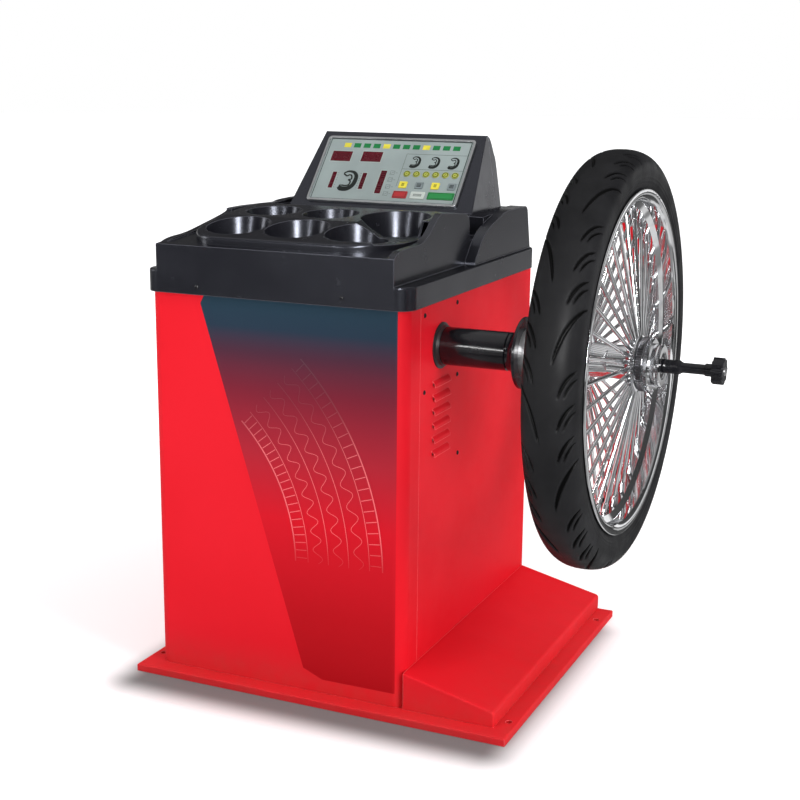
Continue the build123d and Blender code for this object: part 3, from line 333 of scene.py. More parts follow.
def soften(shader, radius):
    """Rounds sharp edges in the shading, as paint and moulding do; returns where the edges are."""
    bevel = shader.node("Bevel", {"Radius": radius}, samples=6)
    shader.link(bevel.outputs[0], "Normal")
    flat = shader.node("NewGeometry").outputs["True Normal"]
    same = shader.node("VectorMath", {0: bevel.outputs[0], 1: flat}, operation="DOT_PRODUCT")
    return shader.step(same.outputs["Value"], 0.985, 0.90)


def enamel_base(shader, colour, deep):
    """Sprayed gloss enamel: a slight tone drift, a painted pink highlight along the edges, orange
    peel, dust low down, fine scuffs.
    """
    z = xyz(shader)[2]
    edge = soften(shader, ENAMEL_EDGE)
    drift = shader.noise(2.2, 2)
    tone = shader.mix(shader.step(drift, 0.3, 0.7), colour, deep)
    # painted highlight: the enamel turns pale pink along its edges
    tone = shader.mix(shader.multiply(edge, 0.55), tone, RED_EDGE_HIGHLIGHT)
    dust = shader.multiply(shader.step(z, DUST_TOP, 0.0), shader.noise(38, 5, 0.65))
    tone = shader.mix(shader.multiply(dust, 0.35), tone, FLOOR_DUST)
    rough = shader.step(shader.noise(9, 4, 0.6), 0.35, 0.75, 0.40, 0.50)
    scuff = shader.step(shader.noise(60, 4, 0.7, stretch=(1, 1, 0.2)), 0.66, 0.78)
    rough = shader.math("ADD", rough, shader.multiply(scuff, 0.14))
    rough = shader.math("ADD", rough, shader.multiply(dust, 0.35))
    shader.link(rough, "Roughness")
    shader.bump(shader.noise(420, 2), 0.00006)
    shader.bump(shader.noise(16, 2), 0.0005, 0.35)
    return tone


def red_enamel():
    s = Shader("red_enamel", Specular_IOR_Level=0.05)
    s.link(enamel_base(s, RED, RED_DEEP), "Base_Color")
    return s.material


def field_colour(shader):
    """The printed field's colour, which fades with height."""
    z = xyz(shader)[2]
    return shader.ramp(shader.math("DIVIDE", z, FIELD_TOP), (
        (0.06, srgb(172, 12, 22)), (0.22, srgb(180, 12, 24)), (0.46, srgb(206, 20, 36)),
        (0.62, srgb(170, 36, 50)), (0.78, srgb(118, 34, 50)), (0.87, srgb(76, 42, 58)),
        (0.93, srgb(38, 54, 70)), (1.0, srgb(36, 58, 72))))


def front_print():
    """The front panel's enamel with its printed dark field, fading from slate blue to red."""
    s = Shader("front_print", Specular_IOR_Level=0.05)
    red = enamel_base(s, RED, RED_DEEP)
    x, y, z = xyz(s)
    left, front = FRONT_LO.x, FRONT_LO.y

    def line_height(slope, point):
        """Height, at each x, of the line through a point of the panel."""
        return s.math("MULTIPLY_ADD", x, slope, point[1] - slope * (left + point[0]))

    # the field's edges: a long slant, a short foot, the cut corner, the low edge and the right
    slant = s.math("SUBTRACT", x, s.math("MULTIPLY_ADD", z, FIELD_LEAN, left + FIELD_LEFT))
    corner = s.math("SUBTRACT", line_height(CORNER_SLOPE, CORNER_POINT), z)
    foot = s.math("SUBTRACT", z, line_height(FOOT_SLOPE, FOOT_POINT))
    edges = (slant, s.multiply(foot, 0.92), s.multiply(corner, 0.47),
             s.math("SUBTRACT", z, FIELD_LOW), s.math("SUBTRACT", left + FIELD_RIGHT, x))
    inside = edges[0]
    for edge in edges[1:]:
        inside = s.math("MINIMUM", inside, edge)
    ahead = s.math("LESS_THAN", s.math("SUBTRACT", y, front), FRONT_DEPTH)
    mask = s.multiply(s.step(inside, -PRINT_SOFT, PRINT_SOFT), ahead)
    s.link(s.mix(mask, red, field_colour(s)), "Base_Color")
    return s.material


def black_shell():
    """Formed black ABS: satin gloss over a fine leathery texture, with a painted grey highlight
    along the edges.
    """
    s = Shader("black_shell", Specular_IOR_Level=0.60, Specular_Tint=(0.82, 0.86, 1.0))
    edge = soften(s, SHELL_EDGE)
    tone = s.mix(s.step(s.noise(4, 3), 0.3, 0.7),
                 (0.0075, 0.0075, 0.0105), (0.0115, 0.0115, 0.015))
    # painted highlight: the shell turns light grey along its edges
    tone = s.mix(s.multiply(edge, 0.8), tone, (0.11, 0.11, 0.13))
    dust = s.step(s.noise(55, 6, 0.7), 0.60, 0.80)
    s.link(s.mix(s.multiply(dust, 0.10), tone, (0.10, 0.10, 0.11)), "Base_Color")
    rough = s.step(s.noise(14, 4, 0.6), 0.3, 0.75, 0.20, 0.28)
    s.link(s.math("ADD", rough, s.multiply(dust, 0.10)), "Roughness")
    s.bump(s.noise(1500, 2, 0.5), 0.00003)
    s.bump(s.noise(30, 2), 0.0003, 0.25)
    return s.material


def black_paint():
    """Sprayed gloss black with a slight drift in tone and polish."""
    s = Shader("black_paint", Specular_IOR_Level=0.35, Coat_Weight=0.12, Coat_Roughness=0.1)
    tone = s.mix(s.step(s.noise(11, 3), 0.35, 0.7), (0.006, 0.006, 0.008), (0.013, 0.013, 0.016))
    s.link(tone, "Base_Color")
    s.link(s.step(s.noise(22, 4, 0.6), 0.3, 0.75, 0.10, 0.17), "Roughness")
    s.bump(s.noise(500, 2), 0.00002)
    return s.material


def axle_distance(shader):
    """Distance from the spindle's axis."""
    y, z = xyz(shader)[1:]
    return shader.hypot(shader.math("SUBTRACT", y, AXLE.y), shader.math("SUBTRACT", z, AXLE.z))


def turned_steel(name, colour, rough):
    """Lathe-turned steel: fine rings round the axis and faint handling marks."""
    s = Shader(name, Metallic=1.0)
    where = s.node("CombineXYZ", {"X": s.multiply(axle_distance(s), LATHE_RINGS),
                                  "Y": s.multiply(xyz(s)[0], LATHE_RINGS)}).outputs[0]
    rings = s.noise(3, 2, 0.6, vector=where)
    stain = s.noise(26, 4, 0.65)
    s.link(s.mix(s.step(stain, 0.35, 0.75), colour, tuple(c * 0.72 for c in colour)),
           "Base_Color")
    polish = s.step(stain, 0.3, 0.8, rough, rough + 0.12)
    s.link(s.math("ADD", s.multiply(rings, 0.16), polish), "Roughness")
    s.bump(rings, 0.00004)
    return s.material


def chrome():
    """Polished plating with a trace of haze and fine dust."""
    s = Shader("chrome", Metallic=1.0)
    haze = s.noise(34, 5, 0.65)
    s.link(s.mix(s.step(haze, 0.45, 0.80), (0.80, 0.805, 0.82), (0.58, 0.59, 0.61)), "Base_Color")
    s.link(s.step(haze, 0.40, 0.85, 0.045, 0.16), "Roughness")
    s.bump(s.noise(70, 2), 0.00010, 0.4)
    return s.material


def bearing_seal():
    """Steel rings with a black rubber seal between them."""
    s = Shader("bearing_seal")
    radius = axle_distance(s)
    seal = s.multiply(s.step(radius, *SEAL_INNER), s.step(radius, *SEAL_OUTER))
    s.link(s.mix(seal, (0.55, 0.55, 0.56), (0.010, 0.010, 0.011)), "Base_Color")
    s.link(s.math("SUBTRACT", 1.0, seal), "Metallic")
    s.link(s.math("MULTIPLY_ADD", seal, 0.28, s.step(s.noise(60, 3), 0.3, 0.7, 0.2, 0.3)),
           "Roughness")
    s.bump(s.noise(500, 2), 0.00004)
    return s.material


def rubber(name, tone, rough, grain=700):
    """Rubber with a faint bloom, and painted shade that darkens it down in any cut grooves."""
    s = Shader(name, Specular_IOR_Level=0.10)
    cloud = s.noise(7, 4, 0.6)
    bloom = s.mix(s.step(cloud, 0.3, 0.75), tone, tuple(c * 1.7 + 0.004 for c in tone))
    # painted shade: the rubber goes near black where the grooves are cut deep
    cut = s.step(s.node("Attribute", attribute_name="groove").outputs["Fac"], 0.1, 0.7)
    s.link(s.mix(cut, bloom, (0.0008, 0.0008, 0.0008)), "Base_Color")
    s.link(s.step(s.noise(20, 4, 0.6), 0.3, 0.75, rough - 0.08, rough + 0.1), "Roughness")
    s.bump(s.noise(grain, 3, 0.6), 0.00012)
    return s.material


def moulded(name, tone, rough, grain=900, **more):
    """Moulded plastic with a fine spark-eroded grain."""
    s = Shader(name, **more)
    s.link(s.mix(s.step(s.noise(12, 3), 0.3, 0.75), tone, tuple(c * 0.86 for c in tone)),
           "Base_Color")
    s.link(s.step(s.noise(40, 3), 0.3, 0.75, rough - 0.05, rough + 0.07), "Roughness")
    s.bump(s.noise(grain, 2), 0.00004)
    return s.material


def plate_metal(name, colour, rough, stretch=(1, 1, 30)):
    """Sheet metal with a directional grain."""
    s = Shader(name, Metallic=1.0)
    grain = s.noise(160, 3, 0.7, stretch=stretch)
    s.link(s.mix(s.step(s.noise(9, 4), 0.3, 0.75), colour, tuple(c * 0.8 for c in colour)),
           "Base_Color")
    s.link(s.step(grain, 0.25, 0.8, rough - 0.08, rough + 0.12), "Roughness")
    s.bump(grain, 0.00003)
    return s.material


RED_ENAMEL = red_enamel()
FRONT_PRINT = front_print()
BLACK_SHELL = black_shell()
BLACK_PAINT = black_paint()
STEEL = turned_steel("turned_steel", (0.56, 0.56, 0.57), 0.24)
CHROME = chrome()
DARK_CHROME = turned_steel("dark_chrome", (0.16, 0.16, 0.17), 0.18)
BEARING = bearing_seal()
TYRE_RUBBER = rubber("tyre_rubber", (0.0062, 0.0062, 0.0070), 0.50)
SOFT_RUBBER = rubber("soft_rubber", (0.014, 0.014, 0.014), 0.62, 900)
BLACK_PLASTIC = moulded("black_plastic", (0.014, 0.014, 0.016), 0.40)
ZINC = plate_metal("zinc_plate", (0.60, 0.60, 0.57), 0.38)
ALUMINIUM = plate_metal("cast_aluminium", (0.62, 0.62, 0.63), 0.45, (1, 1, 1))
BEZEL_SILVER = plate_metal("bezel_silver", (0.50, 0.51, 0.52), 0.34, (0.05, 1, 1))
BOARD_GREEN = moulded("board_green", (0.02, 0.12, 0.05), 0.45)
OVERLAY = moulded("overlay_print", srgb(151, 163, 162), 0.38, 1400, Specular_IOR_Level=0.25)
LED_RED = moulded("led_red", srgb(88, 6, 24), 0.30, 300, Specular_IOR_Level=0.2)
KEY_GREEN = moulded("key_green", srgb(176, 180, 70), 0.34)
KEY_YELLOW = moulded("key_yellow", srgb(236, 220, 60), 0.34)
KEY_GREY = moulded("key_grey", srgb(120, 132, 134), 0.36)
KEY_RED = moulded("key_red", srgb(176, 28, 32), 0.34)
KEY_WHITE = moulded("key_white", srgb(196, 204, 198), 0.36)
KEY_START = moulded("key_start", srgb(16, 134, 62), 0.34)

paint_all(RED_ENAMEL, "base_pan", "ramp_cover", "left_panel", "right_panel", "rear_panel")
paint_all(FRONT_PRINT, "front_panel")
paint_all(BLACK_SHELL, "top_cover", "weight_tray", "display_housing", "display_back")
paint_all(BLACK_PAINT, "spindle_housing", "flange_disc", "case_screws", "hand_knob",
          "clamp_collar", "clamp_sleeve")
paint_all(STEEL, "inner_cone", "mandrel", "spindle_shaft", "bearing_inner_rings",
          "bearing_outer_rings", "bearing_cages", "motor_shaft", "piezo_sensors")
paint_all(CHROME, "hub", "spokes", "spoke_nipples", "rim")
paint_all(BEARING, "hub_bearings")
paint_all(SOFT_RUBBER, "inner_tube", "drive_belt")
paint_all(BLACK_PLASTIC, "wall_collar", "power_inlet", "mains_rocker", "encoder_disc")
paint_all(ZINC, "pedestal", "power_supply")
paint_all(ALUMINIUM, "spindle_saddle", "motor_body", "driven_pulley", "motor_pulley")
paint_all(BEZEL_SILVER, "display_bezel")
paint_all(BOARD_GREEN, "display_board", "encoder_sensor")
paint_all(OVERLAY, "display_overlay")
paint_all(LED_RED, "led_windows")
paint_all(KEY_GREEN, *[f"key_round_{i}" for i in range(1, 7)])
paint_all(KEY_YELLOW, "key_square_1", "key_square_3")
paint_all(KEY_GREY, "key_square_2", "key_square_4")
paint_all(KEY_RED, "key_stop")
paint_all(KEY_WHITE, "key_clear")
paint_all(KEY_START, "key_start")

SHADE_REACH = 0.085            # width of the contact shade on the floor
SHADE_AHEAD = 0.030            # how far it stands forward of the base
SHADE_SHORT = 0.1              # how far it stops short of the base's back
SHADE_DEPTH = 0.16


def floor_paint():
    """Matt white, even with the backdrop far off, with a soft contact shade before the base."""
    s = Shader("floor_paint", Roughness=0.6, Emission_Color=(1.0, 1.0, 1.0))
    x, y = xyz(s)[:2]
    low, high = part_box("base_pan")
    gaps = []
    for value, first, last in ((x, low.x + SHADE_AHEAD, high.x - SHADE_AHEAD),
                               (y, low.y - SHADE_AHEAD, high.y - SHADE_SHORT)):
        off = s.math("ABSOLUTE", s.math("SUBTRACT", value, (first + last) / 2))
        gaps.append(s.math("MAXIMUM", s.math("SUBTRACT", off, (last - first) / 2), 0.0))
    shade = s.step(s.hypot(*gaps), 0.0, SHADE_REACH, SHADE_DEPTH, 1.0)
    s.link(s.mix(shade, (0, 0, 0), (0.74, 0.74, 0.75)), "Base_Color")
    far = s.node("VectorMath", {0: s.place}, operation="LENGTH").outputs["Value"]
    s.link(s.multiply(shade, s.step(far, 0.62, 2.2, 0.36, 0.80)), "Emission_Strength")
    return s.material


FLOOR.data.materials.append(floor_paint())

# ---- mesh tools ---------------------------------------------------------------------


def piece(name, verts, faces, material, body, smooth=False, replaces=()):
    """A new mesh object in row-frame metres that rides on a body."""
    mesh = bpy.data.meshes.new(name)
    mesh.from_pydata([tuple(v) for v in verts], [], faces)
    mesh.update()
    obj = bpy.data.objects.new(name, mesh)
    SCENE.collection.objects.link(obj)
    mesh.materials.append(material)
    if smooth:
        mesh.polygons.foreach_set("use_smooth", [True] * len(mesh.polygons))
    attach(obj, body)
    if replaces:
        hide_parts(*replaces)
    return obj


class Flat:
    """Collects thin raised shapes drawn on a plane given by its origin and two axes."""

    def __init__(self, origin, across, up, lift, thick=0.00012):
        self.origin, self.across, self.up = Vector(origin), Vector(across), Vector(up)
        self.out = self.across.cross(self.up).normalized()
        self.lift, self.thick = lift, thick
        self.verts, self.faces = [], []

    def at(self, u, v, height):
        return self.origin + self.across * u + self.up * v + self.out * height

    def prism(self, outline):
        """A closed anticlockwise outline in metres, as a thin plate."""
        base, n = len(self.verts), len(outline)
        for height in (self.lift, self.lift + self.thick):
            self.verts += [self.at(u, v, height) for u, v in outline]
        self.faces.append([base + n + i for i in range(n)])
        self.faces.append([base + n - 1 - i for i in range(n)])
        for i in range(n):
            j = (i + 1) % n
            self.faces.append([base + i, base + j, base + n + j, base + n + i])

    def box(self, u, v, w, h):
        self.prism([(u - w / 2, v - h / 2), (u + w / 2, v - h / 2), (u + w / 2, v + h / 2),
                    (u - w / 2, v + h / 2)])

    def stroke(self, points, width):
        """A line of a given width through points; the width may be one per point."""
        pts = [Vector(p) for p in points]
        widths = width if isinstance(width, (list, tuple)) else [width] * len(pts)
        left, right = [], []
        for i, p in enumerate(pts):
            along = (pts[min(i + 1, len(pts) - 1)] - pts[max(i - 1, 0)]).normalized()
            side = Vector((-along.y, along.x)) * widths[i] / 2
            left.append(p + side)
            right.append(p - side)
        base, n = len(self.verts), len(pts)
        for height in (self.lift, self.lift + self.thick):
            self.verts += [self.at(p.x, p.y, height) for p in left]
            self.verts += [self.at(p.x, p.y, height) for p in right]
        low, high = base, base + 2 * n
        for i in range(n - 1):
            self.faces.append([high + n + i, high + n + i + 1, high + i + 1, high + i])
            self.faces.append([low + i, low + i + 1, low + n + i + 1, low + n + i])
            self.faces.append([low + n + i, low + n + i + 1, high + n + i + 1, high + n + i])
            self.faces.append([high + i, high + i + 1, low + i + 1, low + i])
        self.faces.append([low + i for i in (0, n)] + [high + n, high])
        self.faces.append([low + 2 * n - 1, low + n - 1, high + n - 1, high + 2 * n - 1])

    def frame(self, u, v, w, h, line):
        """A rectangular outline."""
        self.box(u, v - h / 2, w + line, line)
        self.box(u, v + h / 2, w + line, line)
        self.box(u - w / 2, v, line, h - line)
        self.box(u + w / 2, v, line, h - line)

    def hoop(self, u, v, r_in, r_out, count=28):
        """A flat ring."""
        base = len(self.verts)
        for height in (self.lift, self.lift + self.thick):
            for r in (r_in, r_out):
                self.verts += [self.at(u + r * math.cos(i * math.tau / count),
                                       v + r * math.sin(i * math.tau / count), height)
                               for i in range(count)]
        a, b, c, d = (base + k * count for k in range(4))
        for i in range(count):
            j = (i + 1) % count
            self.faces += [[c + i, d + i, d + j, c + j], [a + i, a + j, b + j, b + i],
                           [b + i, b + j, d + j, d + i], [a + j, a + i, c + i, c + j]]

    def make(self, name, material, body, slot=None):
        return piece(name, self.verts, self.faces, material, body)


def smooth_path(points, per):
    """Catmull-Rom curve through points, with so many steps from each to the next."""
    pts = [Vector(points[0]) * 2 - Vector(points[1])] + [Vector(p) for p in points]
    pts.append(pts[-1] * 2 - pts[-2])
    out = []
    for i in range(1, len(pts) - 2):
        p0, p1, p2, p3 = pts[i - 1:i + 3]
        for k in range(per):
            t = k / per
            out.append((p1 * 2 + (p2 - p0) * t + (p0 * 2 - p1 * 5 + p2 * 4 - p3) * t * t
                        + (p1 * 3 - p0 - p2 * 3 + p3) * t * t * t) / 2)
    out.append(pts[-2])
    return out


def islands(mesh):
    """Bounding boxes of a mesh's separate shells, after merging doubled vertices."""
    bm = bmesh.new()
    bm.from_mesh(mesh)
    bmesh.ops.remove_doubles(bm, verts=bm.verts, dist=1e-6)
    seen, boxes = set(), []
    for start in bm.verts:
        if start.index in seen or not start.link_edges:
            continue
        seen.add(start.index)
        stack, group = [start], []
        while stack:
            v = stack.pop()
            group.append(v.co.copy())
            for e in v.link_edges:
                other = e.other_vert(v)
                if other.index not in seen:
                    seen.add(other.index)
                    stack.append(other)
        boxes.append(tuple(Vector(f(c[k] for c in group) for k in range(3)) for f in (min, max)))
    bm.free()
    return sorted(boxes, key=lambda b: tuple(b[0]))


# ---- tyre ---------------------------------------------------------------------------

TYRE_R = (TYRE_HI.z - TYRE_LO.z) / 2
TYRE_HALF = (TYRE_HI.x - TYRE_LO.x) / 2
CROWN_DROP = 35 * MM
CROWN_POWER = 2.45
TREAD_STEP = 1.5 * MM
SEGMENTS = 1260
REPEATS = 9
GROOVE_DEPTH = 4.2 * MM


def crown_profile():
    """Even steps along the crown from shoulder to shoulder: x, radius and signed distance."""
    fine = np.linspace(0, np.pi / 2, 2000)
    x = TYRE_HALF * np.sin(fine) ** (2 / CROWN_POWER)
    r = TYRE_R - CROWN_DROP + CROWN_DROP * np.cos(fine) ** (2 / CROWN_POWER)
    run = np.concatenate(([0], np.cumsum(np.hypot(np.diff(x), np.diff(r)))))
    count = int(run[-1] / TREAD_STEP)
    s = np.linspace(0, run[-1], count + 1)
    xs, rs = np.interp(s, run, x), np.interp(s, run, r)
    return (np.concatenate((-xs[:0:-1], xs)), np.concatenate((rs[:0:-1], rs)),
            np.concatenate((-s[:0:-1], s)))


def groove_paths(pitch):
    """Centre lines of one repeat's grooves as (points, width): swept blades and paired flicks."""
    blade = [(8, 64), (13, 42), (21, 18), (32, -4), (45, -20), (57, -27)]
    flick = [(19, 26), (25, 8), (35, -8), (48, -18)]
    twin = [(28, 25), (33, 12), (41, 1), (51, -6)]
    paths = [(blade, 5.4)]
    for shift in (88, 139, 190):
        paths.append(([(a, b + shift) for a, b in flick], 4.4))
        paths.append(([(a, b + shift) for a, b in twin], 3.2))
    made = []
    for points, width in paths:
        line = np.array([tuple(p) for p in smooth_path([Vector(p) * MM for p in points], 6)])
        for hand, offset in ((1, 0), (-1, pitch / 2)):
            made.append((line * (hand, 1) + (0, offset), width * MM))
    return made


def groove_depth(s, u, pitch):
    """Depth of tread cut at each (s, u) of one repeat."""
    depth = np.zeros_like(s)
    for line, width in groove_paths(pitch):
        for wrap in (-pitch, 0, pitch):
            for k in range(len(line) - 1):
                a, b = line[k] + (0, wrap), line[k + 1] + (0, wrap)
                ab = b - a
                t = ((s - a[0]) * ab[0] + (u - a[1]) * ab[1]) / (ab @ ab)
                t = np.clip(t, 0, 1)
                gap = np.hypot(s - a[0] - t * ab[0], u - a[1] - t * ab[1])
                along = (k + t) / (len(line) - 1)
                half = width / 2 * np.clip(np.sin(np.pi * along), 0, 1) ** 0.55 + 0.2 * MM
                cut = np.clip((half + 0.5 * MM - gap) / (1.1 * MM), 0, 1)
                depth = np.maximum(depth, cut * cut * (3 - 2 * cut) * GROOVE_DEPTH
                                   * np.clip(half / (1.6 * MM), 0.25, 1))
    return depth


def build_tyre():
    """Swept-groove road tyre with ribbed sidewalls, closed inside its beads."""
    x, r, s = crown_profile()
    per = SEGMENTS // REPEATS
    pitch = math.tau * TYRE_R / REPEATS
    u = np.arange(per) * pitch / per
    cut = groove_depth(*np.meshgrid(s, u, indexing="ij"), pitch)
    cut = np.tile(cut, (1, REPEATS))
    side = np.array([(44.45, 309), (44.2, 305.5), (44.35, 304.6), (43.9, 303.6), (43.4, 299.5),
                     (43.5, 298.6), (42.7, 297.4), (41.6, 294.2), (41.2, 291.6), (39.8, 289.6),
                     (38.2, 284), (37.8, 274), (36.5, 271.8), (31, 271.8), (30.2, 276),
                     (31, 286), (35.5, 303), (36, 313), (33, 326), (22, 337), (0, 340)]) * MM
    left = side[:-1] * (-1, 1)
    xs = np.concatenate((x, side[:, 0], left[::-1, 0]))
    rs = np.concatenate((r, side[:, 1], left[::-1, 1]))
    rows = len(xs)
    angle = np.arange(SEGMENTS) * math.tau / SEGMENTS
    radius = np.repeat(rs[:, None], SEGMENTS, 1)
    radius[:len(x)] -= cut
    verts = np.stack((np.repeat((WHEEL_MID + xs)[:, None], SEGMENTS, 1),
                      AXLE.y + radius * np.cos(angle), AXLE.z + radius * np.sin(angle)), -1)
    i, j = np.meshgrid(np.arange(rows), np.arange(SEGMENTS), indexing="ij")
    i2, j2 = (i + 1) % rows, (j + 1) % SEGMENTS
    faces = np.stack((i * SEGMENTS + j, i * SEGMENTS + j2, i2 * SEGMENTS + j2,
                      i2 * SEGMENTS + j), -1).reshape(-1, 4)
    made = piece("tyre_tread", verts.reshape(-1, 3), faces.tolist(), TYRE_RUBBER, SPINDLE,
                 smooth=True, replaces=("tyre",))
    depth = np.zeros((rows, SEGMENTS), np.float32)
    depth[:len(x)] = cut / GROOVE_DEPTH
    # groove depth, which the rubber material uses for painted shade in the grooves
    made.data.attributes.new("groove", "FLOAT", "POINT").data.foreach_set("value", depth.ravel())


build_tyre()

# ---- cross-head screws --------------------------------------------------------------


HEAD_DEPTH = 2.4 * MM          # a screw head's height from its seat
DOME_FOOT, DOME_RISE, DOME_POWER = 0.5, 1.85, 3.2
CROSS_DEPTH, CROSS_HALF, CROSS_REACH = 1.1, 0.13, 0.62


def build_screws():
    """A domed head with a cross recess for each case screw, where its CAD solid stands."""
    verts, faces = [], []
    rings, turns = 9, 32
    for low, high in islands(NODES["case_screws"].data):
        size = high - low
        axis = max(range(3), key=lambda k: abs(size[k] - sum(size) / 3))
        mid = (low + high) / 2
        outward = 1 if mid[axis] > 0 else -1
        if axis == 0:
            out, a, b = Vector((outward, 0, 0)), Vector((0, 1, 0)), Vector((0, 0, outward))
        else:
            out, a, b = Vector((0, outward, 0)), Vector((0, 0, 1)), Vector((outward, 0, 0))
        radius = min(size[k] for k in range(3) if k != axis) / 2
        face = high[axis] if outward > 0 else -low[axis]
        centre = mid.copy()
        centre[axis] = 0
        base = len(verts)
        for ring in range(rings + 1):
            rr = ring / rings
            for turn in range(turns):
                t = turn * math.tau / turns
                p, q = rr * math.cos(t), rr * math.sin(t)
                dome = DOME_FOOT + DOME_RISE * (1 - rr ** DOME_POWER)
                thin, wide = sorted((abs(p), abs(q)))
                cross = thin < CROSS_HALF and wide < CROSS_REACH
                height = (face - HEAD_DEPTH) + (dome - (CROSS_DEPTH if cross else 0)) * MM
                verts.append(centre + a * (p * radius) + b * (q * radius) + out * height)
        for turn in range(turns):
            t = turn * math.tau / turns
            verts.append(centre + a * (math.cos(t) * radius) + b * (math.sin(t) * radius)
                         + out * (face - HEAD_DEPTH))
        for ring in range(rings + 1):
            for turn in range(turns):
                nxt = (turn + 1) % turns
                i, j = base + ring * turns, base + (ring + 1) * turns
                faces.append([i + turn, j + turn, j + nxt, i + nxt])
        faces.append([base + k for k in range(turns)])
        faces.append([base + (rings + 1) * turns + k for k in reversed(range(turns))])
    piece("cross_head_screws", verts, faces, BLACK_PAINT, MACHINE,
          replaces=("case_screws",))


build_screws()

# ---- display panel prints -----------------------------------------------------------

HOUSING_LO, HOUSING_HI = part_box("display_housing")
LEAN = next(Vector(j["axis"]) for j in frame["joints"] if j["name"] == "key_start_press")
PANEL_OUT = -LEAN
PANEL_UP = Vector((0, -LEAN.z, LEAN.y))
PANEL_FOOT = Vector(((HOUSING_LO.x + HOUSING_HI.x) / 2, HOUSING_LO.y, HOUSING_LO.z))


PRINT_LIFT = 0.02 * MM         # prints stand this far out of the face they are on
LAMP_PITCH = 4.6 * MM
TITLE_BLOCKS = 12
TITLE_YELLOW_EVERY = 4
TITLE_LEFT, TITLE_PITCH, TITLE_UP = -113, 21.6, 151.5
TITLE_W, TITLE_H = 15, 11


def on_panel(point):
    """(across, up the slope, out) of a point from the panel's foot."""
    d = point - PANEL_FOOT
    return d.x, d.dot(PANEL_UP), d.dot(PANEL_OUT)


def key_place(name):
    low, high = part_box(name)
    return on_panel((low + high) / 2)


def face_height(name):
    """How far a node's outermost vertex stands out of the panel."""
    return max(on_panel(v.co)[2] for v in NODES[name].data.vertices)


def panel_flat(lift):
    return Flat(PANEL_FOOT, (1, 0, 0), PANEL_UP, lift)


def print_paint(name, colour, rough=0.4):
    s = Shader(name, Specular_IOR_Level=0.2)
    s.link(s.mix(s.step(s.noise(60, 3), 0.3, 0.75), colour, tuple(c * 0.8 for c in colour)),
           "Base_Color")
    s.link(s.step(s.noise(90, 2), 0.3, 0.7, rough - 0.06, rough + 0.06), "Roughness")
    return s.material


INK = print_paint("ink_black", (0.012, 0.016, 0.014))
INK_GREEN = print_paint("ink_green", srgb(22, 118, 62))
INK_YELLOW = print_paint("ink_yellow", srgb(226, 214, 70))
INK_GREY = print_paint("ink_grey", srgb(96, 108, 104))
INK_OLIVE = print_paint("ink_olive", srgb(92, 104, 34))
INK_SILVER = print_paint("ink_silver", srgb(190, 198, 192))
SEGMENT = print_paint("segment_red", srgb(74, 10, 24), 0.25)

FACE = face_height("display_overlay") + PRINT_LIFT
BEZEL_LO, BEZEL_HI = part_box("display_bezel")
BEZEL_W = BEZEL_HI.x - BEZEL_LO.x


def rim_section(flat, u, v, h):
    """A wheel's cross-section as an icon: tread curve, flange hooks and well, h tall."""
    def path(points, width):
        line = smooth_path([Vector((u + a * h, v + b * h)) for a, b in points], 5)
        if isinstance(width, list):
            steps = np.linspace(0, len(width) - 1, len(line))
            width = list(np.interp(steps, range(len(width)), width))
            flat.stroke(line, [w * h for w in width])
        else:
            flat.stroke(line, width * h)
    path([(-0.30, 0.40), (-0.10, 0.50), (0.16, 0.46), (0.33, 0.28), (0.36, 0.02),
          (0.30, -0.26), (0.08, -0.46), (-0.22, -0.47), (-0.36, -0.36)],
         [0.07, 0.10, 0.14, 0.18, 0.21, 0.23, 0.25, 0.25, 0.20])
    path([(-0.28, 0.34), (-0.12, 0.24), (-0.02, 0.30), (0.10, 0.27), (0.15, 0.08),
          (0.02, 0.03), (0.13, -0.05), (0.11, -0.24), (-0.04, -0.30), (-0.26, -0.28)], 0.075)
    path([(-0.28, 0.30), (-0.30, 0.42)], 0.05)
    path([(-0.30, -0.24), (-0.36, -0.36)], 0.05)


